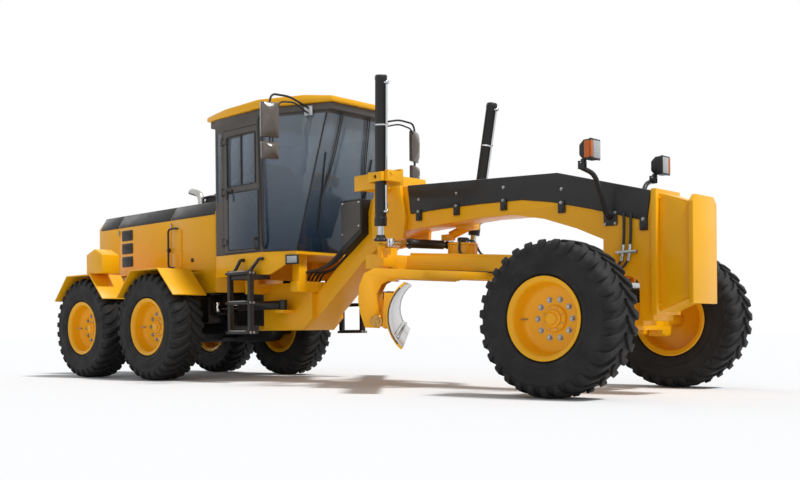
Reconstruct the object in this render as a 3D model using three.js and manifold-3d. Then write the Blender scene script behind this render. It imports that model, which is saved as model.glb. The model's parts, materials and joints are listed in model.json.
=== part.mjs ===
// Motor grader: articulated frame, tandem drive, leaning front wheels and a turning blade.
// Millimetres, +X forward, +Y left, +Z up. Places are measured from the tandem centre on the
// ground, and the whole machine is moved at the end so that its origin is its bottom centre.
import * as THREE from 'three';
import { mergeVertices } from 'three/addons/utils/BufferGeometryUtils.js';
import Module from 'manifold-3d';

const wasm = await Module();
wasm.setup();

// ---- driving dimensions --------------------------------------------------------------------
const SEAT_GAP = 0.3;          // between pieces that rest on each other
const RUN_GAP = 0.5;           // between a pin or rod and what it turns or slides in
const FREE_GAP = 6;            // between a moving piece and what it passes

const WHEELBASE = 6450;        // tandem centre to front axle
const TANDEM_SPACING = 1530;   // between the two rear axles
const TRACK = 2165;            // between tyre centre planes
const TYRE_RADIUS = 660;
const TYRE_WIDTH = 445;
const BEAD_RADIUS = 317.5;
const RIM_FLANGE_RADIUS = 352.5;
const RIM_WIDTH = 400;
const RIM_DISC_OUT = 10;       // disc's outer face, outboard of the tyre's centre plane
const RIM_DISC_THICK = 30;
const WHEEL_SIDES = 20;        // a flat side of each wheel lies on the ground
const STUB_RADIUS = 110;

const REAR_X = -1500;          // back of the hood
const FRONT_X = WHEELBASE + 780;   // front of the push plate
const PIVOT_X = 1600;          // articulation pin
const PIN_RADIUS = 50;

const FRAME_HALF = 180;        // half width of the front frame's beam
const LEG_REAR = WHEELBASE - 250;
const LEG_FRONT = WHEELBASE + 400;
const LEG_BOTTOM = 640;
const ARCH_REAR = WHEELBASE - 130;   // opening in the leg that the axle passes through
const ARCH_FRONT = WHEELBASE + 270;
const ARCH_TOP = 1050;
const NECK_STEP = [[3480, 1655], [2979, 1306]];   // foot of the beam's upright end, and the neck's slope
const FORK_TOP = 1160;         // articulation fork
const FORK_BOTTOM = 600;
const FORK_PLATE = 60;
const FORK_HALF = 200;
const REAR_BOX_X = 1790;       // back wall of the front frame's rear box
const REAR_BOX_HALF = 260;

const HOOD_HALF = 560;
const HOOD_BOTTOM = 1080;
const HOOD_SHOULDER = 2085;
const HOOD_TOP = 2230;
const HOOD_INSET = 90;
const HOOD_CORNER_X = 1235;    // start of the front corners' bevel
const HOOD_FRONT_X = 1480;
const HOOD_WALL = 40;
const RAIL_TOP = 1060;
const RAIL_BOTTOM = 820;
const RAIL_HALF = 380;

const CAB_REAR = 1530;
const CAB_WIDE = 2370;         // where the cab starts to narrow
const CAB_FRONT_TOP = 3120;
const CAB_FRONT_BASE = 2760;
const CAB_HALF = 790;
const CAB_NOSE_HALF = 420;
const CAB_SKIRT = 1240;
const CAB_SILL = 1500;
const CAB_HEADER = 3140;
const CAB_WALL = 55;
const ROOF_THICK = 95;
const DOOR_REAR = 1690;
const DOOR_FRONT = 2330;
const DOOR_BOTTOM = 1520;
const DOOR_TOP = 2970;
const DOOR_THICK = 40;
const HINGE_BACK = 20;         // door hinge axis, behind the door and outside the wall
const HINGE_OUT = 16;
const LADDER_RIGHT_X = 1960;   // the left ladder hangs further back
const LADDER_LEFT_X = 1920;
const LADDER_WIDTH = 410;
const LADDER_Y = 940;
const MIRROR_MOUNT = [604, 120, 3060];   // along the slanting wall, how far out, height

const BALL = [LEG_REAR - 80, 0, 1150];   // ball joint at the front of the drawbar
const BALL_RADIUS = 70;
const DRAWBAR_TILT = 4;        // degrees, front end low
const DRAWBAR_HALF_DEPTH = 75;
const CIRCLE_BACK = 1620;      // circle's centre behind the ball
const CIRCLE_RADIUS = 700;
const CIRCLE_THICK = 75;
const BLADE_ANGLE = 40;        // degrees from straight across
const BLADE_LENGTH = 4070;
const BLADE_CHORD = 610;
const BLADE_BULGE = 147;       // depth of the curve
const BLADE_THICK = 22;
const BLADE_EDGE_X = -460;     // cutting edge, behind the circle's centre
const BLADE_BOTTOM = -815;     // cutting edge, below the drawbar's middle plane
const ARM_SIDE = 620;          // circle arms, either side of the centre
const ARM_THICK = 60;
const TILT_PIN = [-735, -600]; // blade tilt pin, in the circle's side view
const TILT_PIN_R = 25;
const RAIL_SPAN = 2320;        // side shift rails, on the back of the blade

const LIFT_BALL = [BALL[0] - 1940, 750, 1430];
const LIFT_BALL_R = 45;
const LIFT_EYE_DRIFT = 13;     // the rod's eye is open, and this is how far it may drift to its ball
const LIFT_TOP = [BALL[0] - 1760, 920, 3120];
const LIFT_PIVOT_Z = 2130;
const LIFT_BARREL_R = 60;
const LIFT_ROD_R = 35;
const LIFT_BARREL_FOOT = 1640; // height of the barrel's lower end
const SADDLE_X = BALL[0] - 2320;
const SADDLE_Z = 2130;

const SHIFT_BASE = [BALL[0] - 1790, 140, 1490];   // centre shift cylinder, pin on the frame's strut
const SHIFT_EYE = [BALL[0] - 1970, -560, 1490];
const SHIFT_EYE_HALF = 40;
const ART_FRONT = [2300, 400, 900];     // articulation cylinders, pins on the front frame
const ART_REAR = [1100, 440, 900];
const ART_EYE_HALF = 60;       // half height of these cylinders' end eyes

const LEAN_PIN = [WHEELBASE, 650, 560];
const LEAN_BAR_Z = 960;
const LEAN_PIN_R = 25;
const LEAN_BAR_PIN_R = 18;
const KINGPIN_Y = 800;
const KINGPIN_R = 28;
const JAW_LOW = 535;           // the lean fork's jaw, which holds the steering knuckle
const JAW_HIGH = 865;
const LEAN_FORK_HALF = 65;
const STEER_ARM = [200, 45, 553, 591];   // reach behind the kingpin, outboard edge, bottom, top
const TIE_ROD_R = 20;
const HUB_Z = TYRE_RADIUS;

// ---- materials -----------------------------------------------------------------------------
const finish = (color, roughness, metalness) =>
  new THREE.MeshStandardMaterial({ color, roughness, metalness });
const YELLOW = finish('#f0a81e', 0.35, 0.1);
const BLACK = finish('#232323', 0.5, 0.2);
const CAB_GREY = finish('#4a4541', 0.5, 0.2);
const TYRE = finish('#26262a', 0.85, 0);
const STEEL = finish('#c9c6bf', 0.3, 1);
const CHROME = finish('#d9d9d9', 0.15, 1);
const SEAT = finish('#3a3d42', 0.8, 0);

// ---- shapes --------------------------------------------------------------------------------
const machine = new THREE.Group();
const radians = (degrees) => degrees * Math.PI / 180;

const loose = (geometry) => (geometry.index ? geometry.toNonIndexed() : geometry.clone());

function outward(geometry) {
  const p = loose(geometry).attributes.position;
  const [a, b, c] = [new THREE.Vector3(), new THREE.Vector3(), new THREE.Vector3()];
  let volume = 0;
  for (let i = 0; i < p.count; i += 3) {
    a.fromBufferAttribute(p, i);
    b.fromBufferAttribute(p, i + 1);
    c.fromBufferAttribute(p, i + 2);
    volume += a.dot(b.cross(c));
  }
  if (volume >= 0) return geometry;
  const flipped = loose(geometry);
  const q = flipped.attributes.position;
  for (let i = 0; i < q.count; i += 3) {
    a.fromBufferAttribute(q, i);
    b.fromBufferAttribute(q, i + 1);
    q.setXYZ(i, b.x, b.y, b.z);
    q.setXYZ(i + 1, a.x, a.y, a.z);
  }
  return flipped;
}

function solid(geometry) {
  const bare = outward(geometry).clone();
  for (const name of ['normal', 'uv']) bare.deleteAttribute(name);
  const merged = mergeVertices(bare, 1e-3);
  return new wasm.Manifold(new wasm.Mesh({
    numProp: 3,
    vertProperties: new Float32Array(merged.attributes.position.array),
    triVerts: new Uint32Array(merged.index.array),
  }));
}

function geometryOf(body) {
  const mesh = body.getMesh();
  const geometry = new THREE.BufferGeometry();
  geometry.setAttribute('position', new THREE.BufferAttribute(mesh.vertProperties, 3));
  geometry.setIndex(new THREE.BufferAttribute(mesh.triVerts, 1));
  return geometry;
}

const join = (...parts) => geometryOf(parts.map(solid).reduce((a, b) => a.add(b)));
const cut = (base, ...tools) => geometryOf(tools.map(solid).reduce((a, b) => a.subtract(b), solid(base)));
const common = (...parts) => geometryOf(parts.map(solid).reduce((a, b) => a.intersect(b)));

function box([x0, x1], [y0, y1], [z0, z1]) {
  const geometry = new THREE.BoxGeometry(x1 - x0, y1 - y0, z1 - z0);
  return geometry.translate((x0 + x1) / 2, (y0 + y1) / 2, (z0 + z1) / 2);
}

function extrude(points, depth) {
  const shape = new THREE.Shape(points.map(([u, v]) => new THREE.Vector2(u, v)));
  return new THREE.ExtrudeGeometry(shape, { depth, bevelEnabled: false, curveSegments: 8 });
}

// outlines drawn in plan, side view and end view
const plan = (points, [z0, z1]) => extrude(points, z1 - z0).translate(0, 0, z0);
const side = (points, [y0, y1]) => extrude(points, y1 - y0).rotateX(Math.PI / 2).translate(0, y1, 0);
const end = (points, [x0, x1]) => extrude(points, x1 - x0)
  .applyMatrix4(new THREE.Matrix4().set(0, 0, 1, x0, 1, 0, 0, 0, 0, 1, 0, 0, 0, 0, 0, 1));

const mirrorY = (geometry) => outward(geometry.clone().scale(1, -1, 1));

function arc(cx, cy, r, from, to, steps) {
  return Array.from({ length: steps + 1 }, (_, i) => {
    const angle = radians(from + (to - from) * i / steps);
    return [cx + r * Math.cos(angle), cy + r * Math.sin(angle)];
  });
}

// profile points are [radius, distance along the axis]
function lathe(profile, sides = 12, start = 0) {
  const points = profile.map(([r, a]) => new THREE.Vector2(r, a));
  return outward(new THREE.LatheGeometry(points, sides, start));
}
const alongZ = (geometry) => geometry.rotateX(Math.PI / 2);
const alongX = (geometry) => geometry.rotateZ(-Math.PI / 2);
const rodProfile = (r, a0, a1) => [[0, a0], [r, a0], [r, a1], [0, a1]];
const rodX = (r, [x0, x1], y, z, sides = 12) => alongX(lathe(rodProfile(r, x0, x1), sides)).translate(0, y, z);
const rodY = (r, x, [y0, y1], z, sides = 12) => lathe(rodProfile(r, y0, y1), sides).translate(x, 0, z);
const rodZ = (r, x, y, [z0, z1], sides = 12) => alongZ(lathe(rodProfile(r, z0, z1), sides)).translate(x, y, 0);

// A bore is drawn round its pin: its flats clear the pin's corners however far the pin turns,
// and its own corners stand half a side round from them.
const boreRadius = (pin, sides = 12) => (pin + RUN_GAP) / Math.cos(Math.PI / sides);
const boreLathe = (profile, sides = 12) => lathe(profile, sides, Math.PI / sides);
const bore = (pin, [a0, a1], sides) => boreLathe(rodProfile(boreRadius(pin, sides), a0, a1), sides);
const boreX = (pin, reach, y, z, sides = 12) => alongX(bore(pin, reach, sides)).translate(0, y, z);
const boreY = (pin, x, reach, z, sides = 12) => bore(pin, reach, sides).translate(x, 0, z);
const boreZ = (pin, x, y, reach, sides = 12) => alongZ(bore(pin, reach, sides)).translate(x, y, 0);

function bar(points, r, sides = 8) {
  const path = new THREE.CatmullRomCurve3(points.map((p) => new THREE.Vector3(...p)), false, 'catmullrom', 0.2);
  const section = new THREE.Shape(arc(0, 0, r, 0, 360, sides).slice(0, -1).map(([u, v]) => new THREE.Vector2(u, v)));
  const steps = (points.length - 1) * 3;
  return outward(new THREE.ExtrudeGeometry(section, { steps, extrudePath: path }));
}

// straight flat-ended bar of rectangular section between two points
function strut(from, to, wide, deep) {
  const [a, b] = [new THREE.Vector3(...from), new THREE.Vector3(...to)];
  const geometry = new THREE.BoxGeometry(wide, deep, a.distanceTo(b));
  const turn = new THREE.Quaternion().setFromUnitVectors(new THREE.Vector3(0, 0, 1), b.clone().sub(a).normalize());
  const middle = a.add(b).multiplyScalar(0.5);
  return geometry.applyQuaternion(turn).translate(middle.x, middle.y, middle.z);
}

// moves every edge of a convex counter-clockwise outline inwards
function inset(points, by) {
  const lines = points.map(([x, y], i) => {
    const [x2, y2] = points[(i + 1) % points.length];
    const length = Math.hypot(x2 - x, y2 - y);
    const [nx, ny] = [-(y2 - y) / length, (x2 - x) / length];
    return [nx, ny, nx * x + ny * y + by];
  });
  return lines.map(([a, b, c], i) => {
    const [d, e, f] = lines[(i + lines.length - 1) % lines.length];
    const det = a * e - b * d;
    return [(c * e - b * f) / det, (a * f - c * d) / det];
  });
}

function add(name, geometry, material, parent = machine) {
  const mesh = new THREE.Mesh(geometry, material);
  mesh.name = name;
  parent.add(mesh);
  return mesh;
}

const SIDES = [['right', -1], ['left', 1]];
const sided = (s, [x, y, z]) => [x, s * y, z];
// an interval of |y| on one side
const span = (s, y0, y1) => (s > 0 ? [y0, y1] : [-y1, -y0]);

// ---- wheels --------------------------------------------------------------------------------
const flatFoot = (r) => r / Math.cos(Math.PI / WHEEL_SIDES);
const bead = RIM_WIDTH / 2 - 22;

function tyre() {
  const half = [
    [BEAD_RADIUS, bead], [RIM_FLANGE_RADIUS + 4, bead], [RIM_FLANGE_RADIUS + 14, bead + 26],
    [TYRE_RADIUS * 0.73, TYRE_WIDTH / 2], [TYRE_RADIUS * 0.91, TYRE_WIDTH * 0.477], [TYRE_RADIUS, TYRE_WIDTH * 0.37],
  ];
  const radii = half.map(([r, a]) => [flatFoot(r) + (r === BEAD_RADIUS ? SEAT_GAP : 0), a - SEAT_GAP]);
  const profile = [...radii, ...radii.map(([r, a]) => [r, -a]).reverse()];
  return lathe([...profile, profile[0]], WHEEL_SIDES, Math.PI / WHEEL_SIDES);
}

function rim(s) {
  const half = RIM_WIDTH / 2;
  const well = BEAD_RADIUS - 18;
  const discIn = RIM_DISC_OUT - RIM_DISC_THICK;
  const profile = [
    [0, discIn], [well, discIn], [well, -half], [RIM_FLANGE_RADIUS, -half], [RIM_FLANGE_RADIUS, -bead],
    [BEAD_RADIUS, -bead], [BEAD_RADIUS, bead], [RIM_FLANGE_RADIUS, bead], [RIM_FLANGE_RADIUS, half],
    [well, half], [well, RIM_DISC_OUT], [80, RIM_DISC_OUT], [80, 85], [0, 85],
  ];
  return lathe(profile.map(([r, a]) => [flatFoot(r), s * a]), WHEEL_SIDES, Math.PI / WHEEL_SIDES);
}

for (const [axle, x] of [['front', WHEELBASE], ['mid', TANDEM_SPACING / 2], ['rear', -TANDEM_SPACING / 2]]) {
  for (const [name, s] of SIDES) {
    const place = [x, s * TRACK / 2, HUB_Z];
    add(`tyre_${axle}_${name}`, tyre(), TYRE).position.set(...place);
    add(`rim_${axle}_${name}`, rim(s), YELLOW).position.set(...place);
  }
}
// inner face of the wheel disc, where an axle stub ends
const STUB_END = TRACK / 2 + RIM_DISC_OUT - RIM_DISC_THICK - RUN_GAP;

// ---- rear frame, tandems and hood ----------------------------------------------------------
const TANDEM_IN = 600;
const TANDEM_OUT = 835;

function rearFrame() {
  const tongue = [FORK_BOTTOM + FORK_PLATE + FREE_GAP, FORK_TOP - FORK_PLATE - FREE_GAP];
  const nose = arc(PIVOT_X, 0, 130, -90, 90, 8);
  const lugs = SIDES.map(([, s]) => {
    const [x, y, z] = sided(s, ART_REAR);
    return box([x - 70, x + 70], span(s, 120, Math.abs(y) + 60), [z - 90, z - ART_EYE_HALF - RUN_GAP]);
  });
  const brackets = SIDES.map(([, s]) => box([-120, 120], span(s, RAIL_HALF - 20, RAIL_HALF + 60), [RAIL_BOTTOM, RAIL_TOP]));
  return cut(
    join(
      box([REAR_X + 60, 1150], [-RAIL_HALF, RAIL_HALF], [RAIL_BOTTOM, RAIL_TOP]),
      plan([[1100, -150], ...nose, [1100, 150]], tongue),
      box([-330, 330], [-260, 260], [480, RAIL_BOTTOM + 10]),
      box([320, 1120], [-230, 230], [560, RAIL_BOTTOM + 10]),
      box([-190, 190], [-TANDEM_IN + SEAT_GAP, TANDEM_IN - SEAT_GAP], [HUB_Z - 150, HUB_Z + 150]),
      ...lugs,
      ...brackets,
    ),
    boreZ(PIN_RADIUS, PIVOT_X, 0, [FORK_BOTTOM, FORK_TOP], 16),
  );
}

function tandemCase(s) {
  const half = TANDEM_SPACING / 2;
  const outline = [...arc(half, HUB_Z, 205, -90, 90, 6), ...arc(-half, HUB_Z, 205, 90, 270, 6)];
  const stub = (x) => rodY(STUB_RADIUS, x, span(s, TANDEM_OUT - 5, STUB_END), HUB_Z, 16);
  return join(side(outline, span(s, TANDEM_IN, TANDEM_OUT)), stub(half), stub(-half));
}

function fender(s) {
  const [top, thick, inner, outer] = [1355, 14, HOOD_HALF + 60, 1325];
  const profile = (c) => [
    [c - 600, 1030], [c - 285, top], [c + 285, top], [c + 600, 1030], [c + 617, 1040],
    [c + 291, top + thick], [c - 291, top + thick], [c - 617, 1040],
  ];
  const arch = (c) => side(profile(c), span(s, 830, outer));
  const centre = TANDEM_SPACING / 2 + 10;
  return join(
    arch(centre),
    arch(-centre),
    box([-centre - 270, centre + 270], span(s, inner, 840), [top, top + thick]),
    box([-110, 110], span(s, inner, inner + 24), [RAIL_TOP - 160, top + 5]),
    box([-110, 110], span(s, RAIL_HALF + 60 + SEAT_GAP, inner + 12), [RAIL_TOP - 160, RAIL_TOP - 40]),
  );
}

function hoodSolid(wall) {
  const outline = inset([
    [REAR_X, -HOOD_HALF], [HOOD_CORNER_X, -HOOD_HALF], [HOOD_FRONT_X, -60],
    [HOOD_FRONT_X, 60], [HOOD_CORNER_X, HOOD_HALF], [REAR_X, HOOD_HALF],
  ], wall);
  const half = HOOD_HALF - wall;
  const section = [
    [-half, 0], [half, 0], [half, HOOD_SHOULDER - wall / 2], [half - HOOD_INSET, HOOD_TOP - wall],
    [-half + HOOD_INSET, HOOD_TOP - wall], [-half, HOOD_SHOULDER - wall / 2],
  ];
  const [back, front] = [REAR_X + wall, HOOD_FRONT_X + 10];
  const profile = [
    [back, 0], [front, 0], [front, HOOD_TOP], [back + HOOD_INSET, HOOD_TOP], [back, HOOD_SHOULDER - wall / 2],
  ];
  const low = wall ? HOOD_BOTTOM - 50 : HOOD_BOTTOM;
  return common(plan(outline, [low, HOOD_TOP]), end(section, [back - 10, front]), side(profile, [-half, half]));
}

add('rear_frame', rearFrame(), BLACK);
const hoodNotch = box([PIVOT_X - 310, PIVOT_X], [-FORK_HALF - 30, FORK_HALF + 30], [0, FORK_TOP + 2 * FREE_GAP]);
add('engine_hood', cut(hoodSolid(0), hoodSolid(HOOD_WALL), hoodNotch), YELLOW);
add('engine_block', join(
  box([-1150, 450], [-330, 330], [RAIL_TOP + SEAT_GAP, 1850]),
  box([-1100, 1050], [-HOOD_HALF + HOOD_WALL + SEAT_GAP, HOOD_HALF - HOOD_WALL - SEAT_GAP], [RAIL_TOP + SEAT_GAP, 1180]),
), BLACK);
add('exhaust_pipe', bar([
  [640, -180, HOOD_TOP + SEAT_GAP], [640, -180, 2330], [600, -180, 2400], [500, -180, 2420],
], 45), CHROME);
for (const [name, s] of SIDES) {
  add(`tandem_case_${name}`, tandemCase(s), BLACK);
  add(`fender_${name}`, fender(s), YELLOW);
}

// ---- front frame ---------------------------------------------------------------------------
function frontFrame() {
  const beam = side([
    [2300, FORK_BOTTOM], [2480, FORK_BOTTOM], [3374, 1340], [3750, 1590], [4100, 1655], [5000, 1700], [5400, 1690],
    [5750, 1620], [6100, 1500], [LEG_REAR + 170, 1380], [LEG_REAR + 170, 1250], [LEG_REAR, 1150], [LEG_REAR, LEG_BOTTOM],
    [LEG_FRONT, LEG_BOTTOM], [LEG_FRONT, 1760], [5900, 2030], [4050, 2120], [3640, 2100], [3520, 2020],
    [NECK_STEP[0][0], 1900], ...NECK_STEP, [2460, 860], [2300, 860],
  ], [-FRAME_HALF, FRAME_HALF]);
  const archOutline = [
    [ARCH_REAR, LEG_BOTTOM - 10], [ARCH_FRONT, LEG_BOTTOM - 10],
    ...arc((ARCH_REAR + ARCH_FRONT) / 2, ARCH_TOP - 90, (ARCH_FRONT - ARCH_REAR) / 2, 0, 180, 6)
      .map(([x, z]) => [x, ARCH_TOP - 90 + (z - ARCH_TOP + 90) * 0.45]),
  ];
  const forkEnd = [[REAR_BOX_X + 10, -FORK_HALF], [REAR_BOX_X + 10, FORK_HALF], ...arc(PIVOT_X, 0, 140, 110, 250, 6)];
  const rearBox = side([
    [REAR_BOX_X, FORK_BOTTOM], [2480, FORK_BOTTOM], [2640, 740], [2640, 1110], [2590, FORK_TOP], [REAR_BOX_X, FORK_TOP],
  ], [-REAR_BOX_HALF, REAR_BOX_HALF]);
  const floor = CAB_SILL - SEAT_GAP - 40 - SEAT_GAP;
  const post = (x, y) => box([x - 60, x + 60], [y - 60, y + 60], [1040, floor]);
  const lug = (s, [x, y, z]) => box([x - 90, x + 70], span(s, REAR_BOX_HALF - 10, y + 60), [z - 95, z - ART_EYE_HALF - RUN_GAP]);
  return cut(
    join(
      beam,
      rearBox,
      plan(forkEnd, [FORK_BOTTOM, FORK_BOTTOM + FORK_PLATE]),
      plan(forkEnd, [FORK_TOP - FORK_PLATE, FORK_TOP]),
      rodZ(PIN_RADIUS, PIVOT_X, 0, [FORK_BOTTOM + 5, FORK_TOP - 5], 16),
      box([REAR_BOX_X, REAR_BOX_X + 120], [-560, 560], [1040, FORK_TOP]),
      box([2560, 2680], [-520, 520], [1040, FORK_TOP]),
      post(REAR_BOX_X + 60, -500), post(REAR_BOX_X + 60, 500), post(2620, -430), post(2620, 430),
      ...SIDES.map(([, s]) => lug(s, ART_FRONT)),
      strut([4560, 260, 1690], [SHIFT_BASE[0] + 40, SHIFT_BASE[1], SHIFT_BASE[2] + 95], 70, 70),
      box([4480, 4640], [100, 300], [1640, 1720]),
      box([SHIFT_BASE[0] - 45, SHIFT_BASE[0] + 75], [SHIFT_BASE[1] - 45, SHIFT_BASE[1] + 45],
        [SHIFT_BASE[2] + 45 + RUN_GAP, SHIFT_BASE[2] + 110]),
      box([BALL[0] + BALL_RADIUS + RUN_GAP, LEG_REAR + 20], [-80, 80], [BALL[2] - 80, BALL[2] + 110]),
    ),
    side(archOutline, [-FRAME_HALF - 10, FRAME_HALF + 10]),
  );
}

function noseBlock() {
  const back = LEG_FRONT + SEAT_GAP;
  const plate = end([
    [-224, 780], [224, 780], [224, 1640], [165, 1700], [-165, 1700], [-224, 1640],
  ], [FRONT_X - 40, FRONT_X]);
  const core = side([[back + 20, 700], [FRONT_X - 20, 840], [FRONT_X - 20, 1630], [back + 20, 1760]], [-160, 160]);
  return join(box([back, back + 50], [-222, 222], [690, 1780]), core, plate);
}

function frontAxle() {
  const ends = SIDES.flatMap(([, s]) => {
    const y = LEAN_PIN[1];
    return [
      box([WHEELBASE - 125, WHEELBASE - 75], span(s, 520, y + 28), [LEAN_PIN[2] - 40, LEAN_PIN[2] + 33]),
      box([WHEELBASE + 75, WHEELBASE + 125], span(s, 520, y + 28), [LEAN_PIN[2] - 40, LEAN_PIN[2] + 33]),
      rodX(LEAN_PIN_R, [WHEELBASE - 120, WHEELBASE + 120], s * y, LEAN_PIN[2]),
    ];
  });
  return join(
    box([WHEELBASE - 125, WHEELBASE + 125], [-535, 535], [560, 740]),
    box([ARCH_REAR + SEAT_GAP, ARCH_FRONT - SEAT_GAP], [-120, 120], [600, 800]),
    ...ends,
  );
}

function leanFork(s) {
  const [x, y, z] = LEAN_PIN;
  const upright = end([[y - 40, z - 55], [790, z - 55], [790, z - 30], [y + 80, z - 15], [y + 75, 850], [y + 30, LEAN_BAR_Z + 35],
    [y - 30, LEAN_BAR_Z + 35], [y - 35, z + 40]], [x - LEAN_FORK_HALF, x + LEAN_FORK_HALF]);
  const arms = [[JAW_LOW - 35, JAW_LOW], [JAW_HIGH, JAW_HIGH + 40]].map(([z0, z1]) =>
    box([x - 45, x + 45], [y + 20, KINGPIN_Y + 40], [z0, z1]));
  const body = cut(
    join(upright, ...arms),
    boreX(LEAN_PIN_R, [x - 80, x + 80], y, z),
    box([x - 80, x + 80], [y + 84, KINGPIN_Y + 100], [JAW_LOW, JAW_HIGH]),
  );
  const whole = join(
    body,
    rodZ(KINGPIN_R, x, KINGPIN_Y, [JAW_LOW - 15, JAW_HIGH + 15]),
    rodX(LEAN_BAR_PIN_R, [x + 60, x + 100], y, LEAN_BAR_Z),
  );
  return s > 0 ? whole : mirrorY(whole);
}

function steeringKnuckle(s) {
  const x = WHEELBASE;
  const [reach, out, z0, z1] = STEER_ARM;
  const jaw = [JAW_LOW + FREE_GAP, JAW_HIGH - FREE_GAP];
  // the arm's end is round about the kingpin, so it stays clear of the tie rod as it turns
  const arm = [
    [-30, out + 5], ...arc(0, 0, reach, 180 - 13, 182, 4), [12 - reach, -6], [24 - reach, 12], [-60, 8], [-30, 8],
  ].map(([u, v]) => [x + u, KINGPIN_Y + v]);
  const shape = cut(
    join(
      rodZ(52, x, KINGPIN_Y, jaw, 16),
      box([x - 52, x + 52], [KINGPIN_Y, KINGPIN_Y + 56], jaw),
      rodY(70, x, [KINGPIN_Y + 40, STUB_END], HUB_Z, 16),
      plan(arm, [z0, z1]),
    ),
    boreZ(KINGPIN_R, x, KINGPIN_Y, [JAW_LOW, JAW_HIGH]),
  );
  return s > 0 ? shape : mirrorY(shape);
}

function leanBar() {
  const [x, y] = LEAN_PIN;
  const back = x + LEAN_FORK_HALF + RUN_GAP;
  const eyes = SIDES.map(([, s]) => rodX(45, [back, back + 32], s * y, LEAN_BAR_Z));
  const bores = SIDES.map(([, s]) => boreX(LEAN_BAR_PIN_R, [back - 5, back + 40], s * y, LEAN_BAR_Z));
  return cut(join(box([back + 2, back + 30], [-y, y], [LEAN_BAR_Z - 28, LEAN_BAR_Z + 28]), ...eyes), ...bores);
}

add('front_frame', frontFrame(), YELLOW);
add('nose_block', noseBlock(), YELLOW);
add('front_axle', frontAxle(), YELLOW);
add('lean_bar', leanBar(), BLACK);
{
  const [reach, out, z0, z1] = STEER_ARM;
  const x = WHEELBASE - reach - RUN_GAP - TIE_ROD_R;
  const half = KINGPIN_Y + out;
  add('tie_rod', rodY(TIE_ROD_R, x, [-half, half], (z0 + z1) / 2), BLACK);
}
for (const [name, s] of SIDES) {
  add(`lean_fork_${name}`, leanFork(s), YELLOW);
  add(`steering_knuckle_${name}`, steeringKnuckle(s), YELLOW);
}

// ---- cab -----------------------------------------------------------------------------------
const cabOutline = [
  [CAB_REAR, -CAB_HALF], [CAB_WIDE, -CAB_HALF], [CAB_FRONT_TOP, -CAB_NOSE_HALF],
  [CAB_FRONT_TOP, CAB_NOSE_HALF], [CAB_WIDE, CAB_HALF], [CAB_REAR, CAB_HALF],
];
const screenX = (z) => CAB_FRONT_BASE + (CAB_FRONT_TOP - CAB_FRONT_BASE) * (z - CAB_SILL) / (CAB_HEADER - CAB_SILL);
const cheekSlope = (CAB_HALF - CAB_NOSE_HALF) / (CAB_FRONT_TOP - CAB_WIDE);
const cheekY = (x) => CAB_HALF - cheekSlope * (x - CAB_WIDE);

function cabSolid(wall, [z0, z1]) {
  const lean = [[CAB_REAR - 50, z0], [screenX(z0) - wall, z0], [screenX(z1) - wall, z1], [CAB_REAR - 50, z1]];
  return common(plan(inset(cabOutline, wall), [z0, z1]), side(lean, [-CAB_HALF - 10, CAB_HALF + 10]));
}

// moves what is drawn along +X, outwards along +Y, to the slanting wall beside the windscreen
const cheekAngle = Math.atan(cheekSlope);
function onCheek(s, geometry) {
  const placed = geometry.rotateZ(-cheekAngle).translate(CAB_WIDE, CAB_HALF, 0);
  return s > 0 ? placed : mirrorY(placed);
}

function cheekCutter(s, [z0, z1]) {
  const along = (z) => (screenX(z) - CAB_WIDE) / Math.cos(cheekAngle);
  return onCheek(s, side([[45, z0], [along(z0) - 75, z0], [along(z1) - 75, z1], [45, z1]], [-90, 60]));
}

function cabFrame() {
  const walls = cut(cabSolid(0, [CAB_SILL, CAB_HEADER]), cabSolid(CAB_WALL, [CAB_SILL - 10, CAB_HEADER + 10]));
  const [low, high] = [CAB_SILL + 50, CAB_HEADER - 175];
  const screen = end([
    [-cheekY(screenX(low)) + 75, low], [cheekY(screenX(low)) - 75, low],
    [cheekY(screenX(high)) - 75, high], [-cheekY(screenX(high)) + 75, high],
  ], [CAB_FRONT_BASE - 200, CAB_FRONT_TOP + 50]);
  const doorway = (s) => box([DOOR_REAR - FREE_GAP, DOOR_FRONT + FREE_GAP], span(s, CAB_HALF - 100, CAB_HALF + 50),
    [DOOR_BOTTOM - FREE_GAP, DOOR_TOP + FREE_GAP]);
  const sidePane = (s) => box([CAB_REAR + 35, DOOR_REAR - 50], span(s, CAB_HALF - 100, CAB_HALF + 50), [2150, high]);
  return cut(
    walls,
    screen,
    box([CAB_REAR - 50, CAB_REAR + 100], [-600, 600], [2150, high]),
    ...SIDES.flatMap(([, s]) => [cheekCutter(s, [low, high]), doorway(s), sidePane(s)]),
  );
}

function cabBase() {
  const [z0, z1] = [CAB_SKIRT, CAB_SILL - SEAT_GAP];
  const whole = plan(inset(cabOutline, 0), [z0, z1]);
  const hollow = plan(inset(cabOutline, 30), [z0 - 10, z1 - 40]);
  const frontCut = side([[CAB_WIDE + 60, z0 - 20], [CAB_FRONT_TOP + 20, z0 - 20], [CAB_FRONT_TOP + 20, z1 + 10],
    [screenX(CAB_SILL), z1 + 10], [screenX(CAB_SILL), z1 - 60]], [-CAB_HALF - 10, CAB_HALF + 10]);
  return cut(whole, hollow, frontCut);
}

function cabRoof() {
  const outline = [
    [1370, -790], [CAB_WIDE + 20, -840], [3210, -460], [3210, 460], [CAB_WIDE + 20, 840], [1370, 790],
  ];
  const z0 = CAB_HEADER + SEAT_GAP;
  const crown = side([[1340, z0], [3240, z0], [3240, z0 + 55], [2900, z0 + ROOF_THICK], [1750, z0 + ROOF_THICK], [1340, z0 + 55]],
    [-900, 900]);
  return common(plan(outline, [z0, z0 + ROOF_THICK]), crown);
}

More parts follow.
